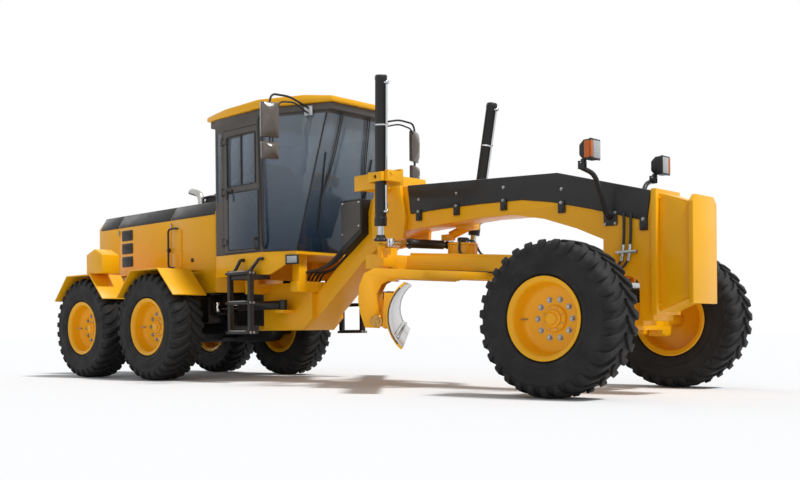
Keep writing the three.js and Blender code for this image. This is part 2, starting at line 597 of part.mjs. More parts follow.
function cabDoor(s) {
  const panel = box([DOOR_REAR, DOOR_FRONT], span(s, CAB_HALF - DOOR_THICK, CAB_HALF), [DOOR_BOTTOM, DOOR_TOP]);
  const through = span(s, CAB_HALF - DOOR_THICK - 10, CAB_HALF + 10);
  const hinges = [1650, 2250, 2850].map((z) =>
    rodZ(HINGE_OUT - RUN_GAP, DOOR_REAR - HINGE_BACK, s * (CAB_HALF + HINGE_OUT), [z - 45, z + 45], 8));
  const leaves = [1650, 2250, 2850].flatMap((z) => [
    box([DOOR_REAR - HINGE_BACK, DOOR_REAR + 60], span(s, CAB_HALF + RUN_GAP, CAB_HALF + HINGE_OUT), [z - 30, z + 30]),
    box([DOOR_REAR + 10, DOOR_REAR + 60], span(s, CAB_HALF - 4, CAB_HALF + HINGE_OUT), [z - 30, z + 30]),
  ]);
  return cut(
    join(panel, ...hinges, ...leaves),
    box([DOOR_REAR + 70, DOOR_FRONT - 60], through, [2290, DOOR_TOP - 90]),
    box([DOOR_REAR + 70, DOOR_FRONT - 60], through, [DOOR_BOTTOM + 60, 2200]),
  );
}

function operatorStation() {
  const floor = CAB_SILL + SEAT_GAP;
  return join(
    box([1900, 2660], [-230, 230], [floor, floor + 25]),
    box([1960, 2260], [-150, 150], [floor + 20, floor + 380]),
    box([1880, 2360], [-240, 240], [floor + 370, floor + 500]),
    side([[1880, floor + 490], [1990, floor + 490], [1900, floor + 1120], [1800, floor + 1120]], [-220, 220]),
    side([[2520, floor + 20], [2640, floor + 20], [2560, floor + 760], [2470, floor + 760]], [-60, 60]),
    ...SIDES.map(([, s]) => box([2360, 2560], span(s, 40, 330), [floor + 680, floor + 800])),
  );
}

// stands on the neck's slope, against the beam's upright end
function valveBox() {
  const [[x1, z1], [x0, z0]] = NECK_STEP;
  const slope = (z1 - z0) / (x1 - x0);
  const seat = SEAT_GAP * Math.hypot(1, slope);
  const neckZ = (x) => z0 + (x - x0) * slope + seat;
  const front = x1 - SEAT_GAP;
  return side([[3170, 2040], [front, 2040], [front, neckZ(front)], [3170, neckZ(3170)]], [-300, 300]);
}

function ladder(s) {
  const x0 = s > 0 ? LADDER_LEFT_X : LADDER_RIGHT_X;
  const [x1, y] = [x0 + LADDER_WIDTH, LADDER_Y];
  const stile = (x) => box([x, x + 45], span(s, y - 30, y + 30), [560, 1290]);
  const rung = (z) => box([x0, x1], span(s, y - 60, y + 60), [z, z + 30]);
  const hanger = box([x0, x1], span(s, CAB_HALF - 130, y + 10), [CAB_SKIRT - 50, CAB_SKIRT - SEAT_GAP]);
  return join(stile(x0), stile(x1 - 45), rung(560), rung(900), rung(1240), hanger);
}

function mirror(s) {
  const [along, out, z] = MIRROR_MOUNT;
  const [cos, sin, reach] = [Math.cos(cheekAngle), Math.sin(cheekAngle), out - 10];
  const foot = [CAB_WIDE + along * cos + reach * sin, s * (CAB_HALF - along * sin + reach * cos), z];
  const head = (high, wide, up) => new THREE.BoxGeometry(60, wide, high)
    .rotateZ(radians(s * 20)).translate(2990, s * 1190, up);
  return join(
    bar([foot, [2990, s * 900, 3150], [2990, s * 1180, 3140], [2990, s * 1190, 3000], [2990, s * 1190, 2480]], 14),
    head(380, 210, 2860),
    head(190, 200, 2530),
    onCheek(s, box([along - 45, along + 45], [SEAT_GAP, out], [z - 40, z + 50])),
  );
}

add('cab_base', cabBase(), YELLOW);
add('cab_frame', cabFrame(), CAB_GREY);
add('cab_roof', cabRoof(), YELLOW);
add('operator_station', operatorStation(), SEAT);
add('valve_box', valveBox(), BLACK);
for (const [name, s] of SIDES) {
  add(`cab_door_${name}`, cabDoor(s), CAB_GREY);
  add(`ladder_${name}`, ladder(s), BLACK);
  add(`mirror_${name}`, mirror(s), BLACK);
}

function headlamp(s) {
  const [x, y] = [LEG_REAR + 250, FRAME_HALF + SEAT_GAP];
  return join(
    box([x - 70, x + 70], span(s, y, y + 14), [1490, 1630]),
    bar([[x, s * (y + 8), 1560], [x, s * 270, 1590], [x, s * 450, 1930], [x - 30, s * 630, 1975], [x, s * 630, 2060]], 22),
    box([x - 10, x + 120], span(s, 550, 710), [2020, 2200]),
  );
}
for (const [name, s] of SIDES) add(`headlamp_${name}`, headlamp(s), BLACK);

// ---- lift saddle and cylinders --------------------------------------------------------------
const liftShare = (LIFT_PIVOT_Z - LIFT_BALL[2]) / (LIFT_TOP[2] - LIFT_BALL[2]);
const liftPivot = LIFT_BALL.map((v, i) => v + (LIFT_TOP[i] - v) * liftShare);
const liftVector = LIFT_TOP.map((v, i) => v - LIFT_BALL[i]);
const liftLength = Math.hypot(...liftVector);
const liftRoll = Math.atan2(liftVector[1], liftVector[2]);
const liftPitch = Math.asin(liftVector[0] / liftLength);
// height along the cylinder from its pivot
const alongLift = (z) => (z - LIFT_PIVOT_Z) * liftLength / liftVector[2];
const YOKE_HALF = 90;
const YOKE_PIN_R = 20;
const YOKE_BORE = LIFT_BARREL_R + 12;

function liftSaddle() {
  const [px, py, pz] = liftPivot;
  const cheeks = SIDES.flatMap(([, s]) => {
    const inner = py - 150;
    return [
      box([SADDLE_X - 60, px + 135], span(s, inner - 40, inner), [pz - 80, pz + 80]),
      box([px - 135, px - 96], span(s, inner - 40, py + 45), [pz - 55, pz + 55]),
      box([px + 96, px + 135], span(s, inner - 40, py + 45), [pz - 55, pz + 55]),
    ];
  });
  const bores = SIDES.map(([, s]) => boreX(YOKE_PIN_R, [px - 200, px + 200], s * py, pz));
  const collar = cut(
    side([[3600, 1500], [4030, 1560], [4060, 1800], [3960, 2240], [3640, 2240], [3560, 1800]], [-230, 230]),
    box([3500, 4100], [-FRAME_HALF - SEAT_GAP, FRAME_HALF + SEAT_GAP], [1400, 2125 + SEAT_GAP]),
  );
  return cut(join(rodY(75, SADDLE_X, [-py + 170, py - 170], SADDLE_Z, 16), collar, ...cheeks), ...bores,
    box([3500, 4100], [-FRAME_HALF - SEAT_GAP, FRAME_HALF + SEAT_GAP], [1400, 2125 + SEAT_GAP]));
}

function liftGroup(s) {
  const group = new THREE.Group();
  group.position.set(...sided(s, liftPivot));
  group.rotation.set(-s * liftRoll, liftPitch, 0);
  machine.add(group);
  return group;
}

function liftBarrel() {
  const [foot, head] = [alongLift(LIFT_BARREL_FOOT), alongLift(LIFT_TOP[2])];
  const inner = boreRadius(LIFT_ROD_R);
  const tube = alongZ(boreLathe([
    [inner, foot], [LIFT_BARREL_R, foot], [LIFT_BARREL_R, head], [0, head], [0, head - 60], [inner, head - 60], [inner, foot],
  ]));
  const pins = SIDES.map(([, s]) => rodY(YOKE_PIN_R, 0, span(s, LIFT_BARREL_R - 8, YOKE_HALF - 2), 0));
  return join(tube, ...pins);
}

function liftYoke() {
  const ring = box([-YOKE_HALF, YOKE_HALF], [-YOKE_HALF, YOKE_HALF], [-45, 45]);
  return cut(
    join(ring, rodX(YOKE_PIN_R, [-YOKE_HALF - 40, YOKE_HALF + 40], 0, 0)),
    rodZ(YOKE_BORE, 0, 0, [-60, 60], 16),
    boreY(YOKE_PIN_R, 0, [-YOKE_HALF - 5, YOKE_HALF + 5], 0),
  );
}

function liftRod() {
  const ballTop = alongLift(LIFT_BALL[2]) + LIFT_BALL_R + LIFT_EYE_DRIFT;
  return join(
    alongZ(lathe(rodProfile(LIFT_ROD_R, ballTop + 10, alongLift(LIFT_BARREL_FOOT) + 900), 12)),
    alongZ(lathe(rodProfile(52, ballTop, ballTop + 45), 12)),
  );
}

add('lift_saddle', liftSaddle(), YELLOW);
for (const [name, s] of SIDES) {
  const group = liftGroup(s);
  add(`lift_barrel_${name}`, liftBarrel(), BLACK, group);
  add(`lift_rod_${name}`, liftRod(), CHROME, group);
  const yoke = add(`lift_yoke_${name}`, liftYoke(), YELLOW);
  yoke.position.set(...sided(s, liftPivot));
  yoke.rotation.x = -s * liftRoll;
}

// ---- other cylinders ------------------------------------------------------------------------
// lies along +X in its own group, from its base pin at 0 to the rod's eye
function cylinderGroup(from, to) {
  const group = new THREE.Group();
  const axis = new THREE.Vector3(...to).sub(new THREE.Vector3(...from));
  group.position.set(...from);
  group.quaternion.setFromUnitVectors(new THREE.Vector3(1, 0, 0), axis.clone().normalize());
  machine.add(group);
  return [group, axis.length()];
}

const ballShape = (r) => alongZ(lathe([[0, -r], [r * 0.72, -r * 0.7], [r, 0], [r * 0.72, r * 0.7], [0, r]], 12));

function barrelShape(length, r, rod, base, neck) {
  const inner = boreRadius(rod);
  const tube = alongX(boreLathe([[0, neck], [r, neck], [r, length], [inner, length], [inner, neck + 20], [0, neck + 20]]));
  return join(tube, rodX(rod, [5, neck + 10], 0, 0), base);
}

const rodShape = (start, eye, rod, thick, half) =>
  join(rodX(rod, [start, eye - thick + 8], 0, 0), rodZ(thick, eye, 0, [-half, half]));

for (const [name, s] of SIDES) {
  const [group, length] = cylinderGroup(sided(s, ART_FRONT), sided(s, ART_REAR));
  const base = rodZ(48, 0, 0, [-ART_EYE_HALF, ART_EYE_HALF]);
  add(`steer_barrel_${name}`, barrelShape(760, 55, 28, base, 30), BLACK, group);
  add(`steer_rod_${name}`, rodShape(380, length, 28, 48, ART_EYE_HALF), CHROME, group);
}
{
  const [group, length] = cylinderGroup(SHIFT_BASE, SHIFT_EYE);
  add('shift_barrel', barrelShape(500, 48, 24, ballShape(45), 60), BLACK, group);
  add('shift_rod', rodShape(260, length, 24, 40, SHIFT_EYE_HALF), CHROME, group);
}

// ---- drawbar, circle and blade ---------------------------------------------------------------
// everything here is drawn about the ball and then tilted
const gear = new THREE.Group();
gear.position.set(...BALL);
gear.rotation.y = radians(DRAWBAR_TILT);
machine.add(gear);

function toGear([x, y, z]) {
  const p = new THREE.Vector3(x - BALL[0], y - BALL[1], z - BALL[2]);
  p.applyAxisAngle(new THREE.Vector3(0, 1, 0), -radians(DRAWBAR_TILT));
  return p;
}

function drawbar() {
  const [h, back, nose] = [DRAWBAR_HALF_DEPTH, CIRCLE_BACK, -BALL_RADIUS - RUN_GAP];
  const half = [
    [nose, 60], [-500, 110], [-1150, 300], [-back - 250, 430], [-back - 330, 640], [-back - 640, 640],
  ];
  const outline = [...half, ...half.map(([x, y]) => [x, -y]).reverse()];
  const windows = SIDES.map(([, s]) => plan([
    [-760, s * 55], [-1180, s * 170], [-1180, s * 55],
  ], [-h - 5, h + 5]));
  const ears = SIDES.flatMap(([, s]) => {
    const ball = toGear(sided(s, LIFT_BALL));
    return [
      box([ball.x - 60, ball.x + 60], span(s, 600, 760), [-50, 40]),
      rodZ(30, ball.x, ball.y, [30, ball.z - 20]),
      ballShape(LIFT_BALL_R).translate(ball.x, ball.y, ball.z),
    ];
  });
  const eye = toGear(SHIFT_EYE);
  return cut(
    join(
      plan(outline, [-h, h]),
      ...ears,
      box([eye.x - 50, eye.x + 50], [eye.y - 50, eye.y + 50], [h - 5, eye.z - SHIFT_EYE_HALF - 3 * FREE_GAP]),
      rodZ(145, -back + 130, 0, [h - 5, h + 140], 20),
    ),
    ...windows,
  );
}

const turn = radians(BLADE_ANGLE);
const circle = new THREE.Group();
circle.position.set(-CIRCLE_BACK, 0, 0);
circle.rotation.z = turn;
gear.add(circle);

const ringTop = -DRAWBAR_HALF_DEPTH - RUN_GAP;
const ringFoot = ringTop - CIRCLE_THICK;

function circleRing() {
  const [r, inner] = [CIRCLE_RADIUS, CIRCLE_RADIUS - 130];
  const ring = alongZ(lathe([[inner, ringFoot], [r, ringFoot], [r, ringTop], [inner, ringTop], [inner, ringFoot]], 32));
  const foot = TILT_PIN[1] - 70;
  const profile = [
    [60, ringTop], [-780, ringTop], [-880, -130], [-925, -260], [-930, -400], [-900, -540], [-850, foot],
    [-700, foot], [-695, -560], [-735, -420], [-745, -330], [-700, -230], [-600, -172], [60, -172], [90, -150],
  ];
  const arms = SIDES.map(([, s]) => side(profile, span(s, ARM_SIDE - ARM_THICK, ARM_SIDE)));
  const braces = [
    box([-880, -760], [-ARM_SIDE + 5, ARM_SIDE - 5], [-330, -230]),
    box([-650, -560], [-ARM_SIDE + 5, ARM_SIDE - 5], [ringFoot - 45, ringFoot + 5]),
  ];
  const pins = SIDES.map(([, s]) => rodY(TILT_PIN_R, TILT_PIN[0], span(s, ARM_SIDE - ARM_THICK - 55, ARM_SIDE - 5), TILT_PIN[1]));
  return join(ring, ...arms, ...braces, ...pins);
}

// the blade's curve: points of the back and of the working face, in side view
const bladeRadius = ((BLADE_CHORD / 2) ** 2 + BLADE_BULGE ** 2) / (2 * BLADE_BULGE);
const bladeHalfArc = Math.asin(BLADE_CHORD / 2 / bladeRadius) * 180 / Math.PI;
const bladeCentre = [BLADE_EDGE_X - BLADE_BULGE + bladeRadius, BLADE_BOTTOM + BLADE_CHORD / 2];
const bladeCurve = (r) => arc(...bladeCentre, r, 180 - bladeHalfArc, 180 + bladeHalfArc, 10);
const bladeOutline = [...bladeCurve(bladeRadius), ...bladeCurve(bladeRadius - BLADE_THICK).reverse()];
const bladeXs = bladeOutline.map(([x]) => x);
const bladeReach = Math.min(...bladeXs) + Math.max(...bladeXs);
// the blade is shifted sideways so that its ends reach equally far from the centre line
const BLADE_SHIFT = -Math.tan(turn) * bladeReach / 2;

const bladeBackX = BLADE_EDGE_X - BLADE_BULGE;
const RAILS = [bladeCentre[1] + 165, bladeCentre[1] - 115];
const RAIL_X = bladeBackX - 33;
const RAIL_R = 18;
const plateOut = ARM_SIDE - ARM_THICK - FREE_GAP;

function bladeCarrier() {
  const front = bladeBackX - FREE_GAP;
  const [tx, tz] = TILT_PIN;
  const plates = SIDES.map(([, s]) => side([
    [tx - 45, tz - 45], [front, RAILS[1] - 40], [front, RAILS[0] + 40], [tx + 45, RAILS[0] + 40], [tx - 45, tz + 60],
  ], span(s, plateOut - 45, plateOut)));
  const tie = box([tx + 35, RAIL_X - RAIL_R - 12], [-plateOut + 10, plateOut - 10], [tz + 40, tz + 190]);
  const bores = SIDES.flatMap(([, s]) => [
    boreY(TILT_PIN_R, tx, span(s, 400, 640), tz),
    ...RAILS.map((z) => boreY(RAIL_R, RAIL_X, span(s, 400, 640), z)),
  ]);
  return cut(join(...plates, tie), ...bores);
}

function moldboard() {
  const reach = (half) => [BLADE_SHIFT - half, BLADE_SHIFT + half];
  const blade = side(bladeOutline, reach(BLADE_LENGTH / 2));
  const face = side(bladeCurve(bladeRadius - BLADE_THICK / 2).concat([[0, BLADE_BOTTOM], [0, BLADE_BOTTOM + BLADE_CHORD]]),
    reach(BLADE_LENGTH));
  const mounts = [-1, 1].map((s) => cut(
    box([RAIL_X - RAIL_R - 10, bladeBackX + 70], [
      BLADE_SHIFT + s * RAIL_SPAN / 2 - 30, BLADE_SHIFT + s * RAIL_SPAN / 2 + 30,
    ], [RAILS[1] - 30, RAILS[0] + 30]),
    face,
  ));
  const rails = RAILS.map((z) => rodY(RAIL_R, RAIL_X, reach(RAIL_SPAN / 2), z));
  return join(blade, ...mounts, ...rails);
}

add('drawbar_ball', ballShape(BALL_RADIUS), STEEL, gear);
add('drawbar', drawbar(), YELLOW, gear);
add('circle', circleRing(), YELLOW, circle);
add('blade_carrier', bladeCarrier(), YELLOW, circle);
add('moldboard', moldboard(), STEEL, circle);

machine.position.x = -(FRONT_X + REAR_X) / 2;
const grader = new THREE.Group();
grader.add(machine);

export default grader;
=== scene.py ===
"""Looks for a motor grader: enamelled frame, lugged tyres, glazed cab, cylinders and blade gear.

Laid out as an add-on. Every length is in metres, +X forward, +Y left, +Z up.
"""

import json
from math import atan2, cos, pi, radians, sin, tan

import bpy
from bpy.props import FloatProperty, FloatVectorProperty, IntProperty, PointerProperty
from mathutils import Matrix, Vector

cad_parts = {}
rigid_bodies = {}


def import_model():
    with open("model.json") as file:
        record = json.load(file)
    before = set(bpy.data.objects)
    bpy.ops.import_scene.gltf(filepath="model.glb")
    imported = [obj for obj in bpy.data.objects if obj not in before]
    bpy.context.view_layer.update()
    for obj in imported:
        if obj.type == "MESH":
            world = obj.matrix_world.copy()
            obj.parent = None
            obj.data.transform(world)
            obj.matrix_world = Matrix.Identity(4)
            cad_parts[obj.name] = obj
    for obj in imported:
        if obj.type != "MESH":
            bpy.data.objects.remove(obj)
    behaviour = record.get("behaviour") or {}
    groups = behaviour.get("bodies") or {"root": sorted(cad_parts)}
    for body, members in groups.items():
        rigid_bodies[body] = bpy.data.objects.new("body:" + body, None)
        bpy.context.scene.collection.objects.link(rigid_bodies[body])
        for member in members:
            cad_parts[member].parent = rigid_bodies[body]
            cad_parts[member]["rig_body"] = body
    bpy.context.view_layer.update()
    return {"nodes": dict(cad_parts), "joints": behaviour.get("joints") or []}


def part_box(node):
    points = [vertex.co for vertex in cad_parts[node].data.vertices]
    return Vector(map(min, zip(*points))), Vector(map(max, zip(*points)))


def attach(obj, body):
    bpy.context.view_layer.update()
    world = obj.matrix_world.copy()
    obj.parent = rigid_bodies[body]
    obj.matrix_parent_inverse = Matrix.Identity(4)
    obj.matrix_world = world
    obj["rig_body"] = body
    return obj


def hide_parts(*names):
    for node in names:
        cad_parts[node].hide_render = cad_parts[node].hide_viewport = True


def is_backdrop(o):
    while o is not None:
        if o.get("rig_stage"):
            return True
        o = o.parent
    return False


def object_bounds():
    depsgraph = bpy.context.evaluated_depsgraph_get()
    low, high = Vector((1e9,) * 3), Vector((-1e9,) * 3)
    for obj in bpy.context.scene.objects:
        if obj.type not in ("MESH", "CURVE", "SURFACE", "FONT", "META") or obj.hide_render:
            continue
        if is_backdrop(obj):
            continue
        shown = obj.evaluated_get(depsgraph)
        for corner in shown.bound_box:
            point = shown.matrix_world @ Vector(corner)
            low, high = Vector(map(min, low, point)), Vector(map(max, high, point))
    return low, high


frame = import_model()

bl_info = {
    "name": "Motor Grader Looks",
    "version": (1, 0, 0),
    "blender": (4, 5, 0),
    "location": "3D View > Sidebar > Grader",
    "description": "Builds the visible pieces and finishes of a motor grader around its frame",
    "category": "Object",
}

SIDES = (("right", -1), ("left", 1))
X, Y, Z = Vector((1, 0, 0)), Vector((0, 1, 0)), Vector((0, 0, 1))


def middle(node):
    """Middle of a CAD node's box."""
    low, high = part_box(node)
    return (low + high) / 2


# The long measures below are taken from the middle between the two rear axles.
TANDEM_X = (middle("rim_mid_right").x + middle("rim_rear_right").x) / 2


def at(x, y, z):
    """A point measured from the tandem centre on the ground, in the frame."""
    return Vector((x + TANDEM_X, y, z))


def linear(hex_value):
    """An sRGB hex colour as linear red, green and blue."""
    parts = [int(hex_value[i:i + 2], 16) / 255 for i in (0, 2, 4)]
    return tuple(c / 12.92 if c <= 0.04045 else ((c + 0.055) / 1.055) ** 2.4 for c in parts)


class GraderSizes(bpy.types.PropertyGroup):
    """Sizes that the pieces share."""

    lugs: IntProperty(
        name="Lugs a side", description="Tread lugs round each side of a tyre", default=30, min=8)
    lug_depth: FloatProperty(
        name="Tread depth", description="How far a lug stands above the tread floor",
        default=0.027, unit="LENGTH")
    edge: FloatProperty(
        name="Edge break", description="Width of the rounding on plate edges",
        default=0.005, unit="LENGTH")
    glass: FloatProperty(
        name="Glass thickness", description="Thickness of the cab's panes",
        default=0.006, unit="LENGTH")
    hose: FloatProperty(
        name="Hose radius", description="Outer radius of the hydraulic hoses",
        default=0.013, unit="LENGTH")


class GraderColours(bpy.types.PropertyGroup):
    """Colours that a user would change."""

    body: FloatVectorProperty(
        name="Body", description="Body enamel", subtype="COLOR", default=linear("FBB40E"))
    trim: FloatVectorProperty(
        name="Trim", description="Dark enamel", subtype="COLOR", default=linear("191818"))
    cab: FloatVectorProperty(
        name="Cab", description="Cab frame paint", subtype="COLOR", default=linear("4A4541"))
    # the panes' colour at the top is painted reflection of the sky, paler than the dark tint low down
    glass: FloatVectorProperty(
        name="Glass", description="Tint of the cab's panes at the top", subtype="COLOR",
        default=linear("A3B0BC"))


def sizes():
    """The sizes as the user has set them."""
    return bpy.context.scene.grader_sizes


def colours():
    """The colours as the user has set them."""
    return bpy.context.scene.grader_colours


# ---- finishes ------------------------------------------------------------------------------
def add_node(tree, kind, inputs=None, stops=(), **settings):
    """Adds a node, with its settings, ramp stops, and values or links for its sockets."""
    node = tree.nodes.new(kind)
    for key, value in settings.items():
        setattr(node, key, value)
    for i, (place, colour) in enumerate(stops):
        element = node.color_ramp.elements[i] if i < 2 else node.color_ramp.elements.new(place)
        element.position, element.color = place, (*colour, 1)
    for key, value in (inputs or {}).items():
        if isinstance(value, bpy.types.NodeSocket):
            tree.links.new(value, node.inputs[key])
        else:
            node.inputs[key].default_value = value
    return node


def shade(colour, by):
    """The same colour, lighter or darker."""
    return tuple(min(1, c * by) for c in colour)


def grey(level):
    """A neutral colour of one lightness."""
    return (level, level, level)


# What each finish is, and what that gives the eye. Sizes are in metres: patch is the size of
# the tone's drift between its two shares in tones, grain that of the fine relief, drawn coarse
# enough to show, and relief its height. Level, coat, metallic and wear go to the shader, and
# stretch draws the pattern out along an axis.
FINISHES = {
    # Polyurethane enamel sprayed on welded plate: smooth, glossy, faint orange peel.
    "polyurethane_enamel": dict(
        tones=(0.93, 1.03), patch=0.8, rough=(0.30, 0.42), grain=0.006, relief=0.00008,
        level=0.3, coat=0.12, wear=1.25),
    # The same enamel in satin black.
    "satin_black_enamel": dict(
        tones=(0.8, 1.25), patch=0.5, rough=(0.38, 0.52), grain=0.006, relief=0.0001,
        level=0.35, coat=0.1, wear=2.2),
    # Textured powder coat on the cab's tubes: fine even pimples, dull sheen.
    "textured_powder_coat": dict(
        tones=(0.92, 1.08), patch=0.4, rough=(0.5, 0.6), grain=0.004, relief=0.0002, wear=1.5),
    # Natural rubber tyre compound: matt, with a slight bloom in patches.
    "tyre_compound": dict(
        hex="1D1C1C", tones=(0.7, 1.4), patch=0.22, rough=(0.6, 0.8), grain=0.005,
        relief=0.0006, level=0.3),
    # Hydraulic hose cover: wrapped and ribbed rubber.
    "hose_rubber": dict(
        hex="1D1D1F", tones=(0.85, 1.2), patch=0.1, rough=(0.5, 0.62), grain=0.003, relief=0.0002),
    # Hard chrome on ground rod: mirror-like.
    "hard_chrome": dict(
        hex="C6C8CA", tones=(0.9, 1.02), patch=0.2, rough=(0.06, 0.12), grain=0.002,
        relief=0.00001, metallic=1),
    # Blade steel, rolled and ground by the soil: streaks along the blade.
    "ground_blade_steel": dict(
        hex="BEBCBC", tones=(0.72, 1.05), patch=0.2, rough=(0.26, 0.36), grain=0.006,
        relief=0.00002, metallic=1, stretch=(1, 1, 0.25)),
    # Sand-cast iron under grey primer: coarse skin.
    "cast_iron": dict(
        hex="4A4A4B", tones=(0.75, 1.2), patch=0.15, rough=(0.55, 0.7), grain=0.005,
        relief=0.0005, metallic=0.4),
    # Zinc-plated fasteners: bright grey, dulled in patches.
    "zinc_plate": dict(
        hex="A6A8A8", tones=(0.8, 1.1), patch=0.03, rough=(0.28, 0.42), grain=0.002,
        relief=0.00003, metallic=0.9),
    # Yellow-passivated zinc on clevises.
    "gold_zinc_plate": dict(
        hex="B08A4A", tones=(0.8, 1.15), patch=0.03, rough=(0.3, 0.42), grain=0.002,
        relief=0.00003, metallic=0.9),
    # Embossed vinyl seat cover: leather grain, soft sheen.
    "embossed_vinyl": dict(
        hex="2B2D31", tones=(0.85, 1.15), patch=0.08, rough=(0.5, 0.62), grain=0.004,
        relief=0.0006),
    # Moulded ABS shells of the mirrors: smooth, warm grey, a clear highlight.
    "moulded_abs": dict(
        hex="5B524B", tones=(0.9, 1.12), patch=0.1, rough=(0.16, 0.26), grain=0.004,
        relief=0.00005),
    # Moulded polypropylene: dashboard, console and grips, even and dull.
    "moulded_polypropylene": dict(
        hex="303133", tones=(0.92, 1.1), patch=0.2, rough=(0.5, 0.58), grain=0.003,
        relief=0.0001),
    # Stainless sheet on the exhaust: brushed, slightly tarnished.
    "brushed_stainless": dict(
        hex="B9B7B2", tones=(0.8, 1.05), patch=0.1, rough=(0.24, 0.36), grain=0.002,
        relief=0.00003, metallic=1, stretch=(1, 1, 8)),
}
MOTTLE = 0.035   # the gloss drifts over patches this much wider than the grain
BUMP_STRENGTH, BUMP_REACH = 0.6, 4
COAT_ROUGH = 0.12
WORN_FROM, WORN_TO, WORN_SHARE = 0.54, 0.62, 0.35   # how sharp an edge is rubbed, and how far
PAINTS = {
    "polyurethane_enamel": "body", "satin_black_enamel": "trim", "textured_powder_coat": "cab",
    "tinted_safety_glass": "glass"}


def chosen(name, hex_value):
    """The user's colour for a finish, where there is one, or its own."""
    return tuple(getattr(colours(), PAINTS[name])) if name in PAINTS else linear(hex_value)


def blank(name):
    """A new material and its empty tree of nodes."""
    material = bpy.data.materials.new(name)
    material.use_nodes = True
    material.node_tree.nodes.clear()
    return material, material.node_tree


def surface(name):
    """The named finish as a material, made once."""
    if name in bpy.data.materials:
        return bpy.data.materials[name]
    if name in GLASSES:
        return glazing(name)
    look = FINISHES[name]
    paint = chosen(name, look.get("hex"))
    material, tree = blank(name)
    place = add_node(tree, "ShaderNodeTexCoord").outputs["Object"]
    place = add_node(tree, "ShaderNodeMapping", {
        "Vector": place, "Scale": look.get("stretch", (1, 1, 1))}).outputs["Vector"]
    drift = add_node(tree, "ShaderNodeTexNoise", {
        "Vector": place, "Scale": 1 / look["patch"], "Detail": 3.0}).outputs["Fac"]
    low, high = look["tones"]
    tone = add_node(tree, "ShaderNodeValToRGB", {"Fac": drift}, stops=(
        (0.3, shade(paint, low)), (0.7, shade(paint, high)))).outputs["Color"]
    if "wear" in look:
        # rubbed edges, where the film is thin
        edge = add_node(tree, "ShaderNodeNewGeometry").outputs["Pointiness"]
        worn = add_node(tree, "ShaderNodeValToRGB", {"Fac": edge}, stops=(
            (WORN_FROM, grey(0)), (WORN_TO, grey(WORN_SHARE)))).outputs["Color"]
        tone = add_node(tree, "ShaderNodeMixRGB", {
            "Fac": worn, "Color1": tone, "Color2": (*shade(paint, look["wear"]), 1)}).outputs["Color"]
    mottle = add_node(tree, "ShaderNodeTexNoise", {
        "Vector": place, "Scale": MOTTLE / look["grain"], "Detail": 4.0}).outputs["Fac"]
    smooth, rough = look["rough"]
    gloss = add_node(tree, "ShaderNodeMapRange", {
        "Value": mottle, "From Min": 0.3, "From Max": 0.7, "To Min": smooth, "To Max": rough})
    fine = add_node(tree, "ShaderNodeTexNoise", {
        "Vector": place, "Scale": 1 / look["grain"], "Detail": 2.0}).outputs["Fac"]
    bump = add_node(tree, "ShaderNodeBump", {
        "Height": fine, "Strength": BUMP_STRENGTH, "Distance": look["relief"] * BUMP_REACH})
    shader = add_node(tree, "ShaderNodeBsdfPrincipled", {
        "Base Color": tone, "Roughness": gloss.outputs["Result"], "Normal": bump.outputs["Normal"],
        "Metallic": look.get("metallic", 0.0), "Coat Weight": look.get("coat", 0.0),
        "Coat Roughness": COAT_ROUGH, "Specular IOR Level": look.get("level", 0.5)})
    add_node(tree, "ShaderNodeOutputMaterial", {"Surface": shader.outputs["BSDF"]})
    return material


GLASS_IOR = 1.45
PAINTED_REFLECTION_WANDER = 0.12   # metres by which a noise moves the painted reflection's change of tint up or down, so that its edge wanders
# Clear or tinted solids: the colours at sill and header height, between which the colour runs as painted
# reflection, paler higher up, then how much light passes, roughness.
GLASSES = {
    # Tinted safety glass, rolled and flat, blue: painted reflection makes it dark low down and paler towards
    # the sky above.
    "tinted_safety_glass": ("2E4E6C", "", 0.62, 0.0),
    # Moulded polycarbonate lenses, amber, red and clear, each with a paler painted reflection higher up.
    "amber_lens": ("F06A10", "FF8A20", 0.35, 0.12),
    "red_lens": ("A81410", "C81E18", 0.3, 0.12),
    "clear_lens": ("DDE3E6", "F2F5F6", 0.5, 0.08),
    # Silvered mirror glass, paler higher up as painted reflection.
    "mirror_glass": ("B8C2C8", "D4DBDF", 0.0, 0.03),
}


def glazing(name):
    """A clear, tinted or silvered finish as a material, with painted reflection: darker at sill height, paler
    towards the header.
    """
    low, high, passes, rough = GLASSES[name]
    material, tree = blank(name)
    place = add_node(tree, "ShaderNodeTexCoord").outputs["Object"]
    height = add_node(tree, "ShaderNodeSeparateXYZ", {"Vector": place}).outputs["Z"]
    # a noise that moves the edge of the painted reflection up and down
    wander_noise = add_node(tree, "ShaderNodeTexNoise", {"Vector": place, "Scale": 2.5, "Detail": 2.0})
    reflection_wander = add_node(tree, "ShaderNodeMapRange", {
        "Value": wander_noise.outputs["Fac"], "To Min": -PAINTED_REFLECTION_WANDER, "To Max": PAINTED_REFLECTION_WANDER}).outputs["Result"]
    height = add_node(tree, "ShaderNodeMath", {0: height, 1: reflection_wander}, operation="ADD").outputs[0]
    # painted reflection: the tint runs from the low colour at sill height to the paler high colour below the
    # header
    share = add_node(tree, "ShaderNodeMapRange", {
        "Value": height, "From Min": CAB_SILL, "From Max": CAB_HEADER - 0.14}).outputs["Result"]
    tone = add_node(tree, "ShaderNodeValToRGB", {"Fac": share}, stops=(
        (0.0, linear(low)), (1.0, chosen(name, high)))).outputs["Color"]
    shader = add_node(tree, "ShaderNodeBsdfPrincipled", {
        "Base Color": tone, "Roughness": rough, "IOR": GLASS_IOR,
        "Transmission Weight": passes, "Metallic": 1.0 if name == "mirror_glass" else 0.0})
    add_node(tree, "ShaderNodeOutputMaterial", {"Surface": shader.outputs["BSDF"]})
    return material


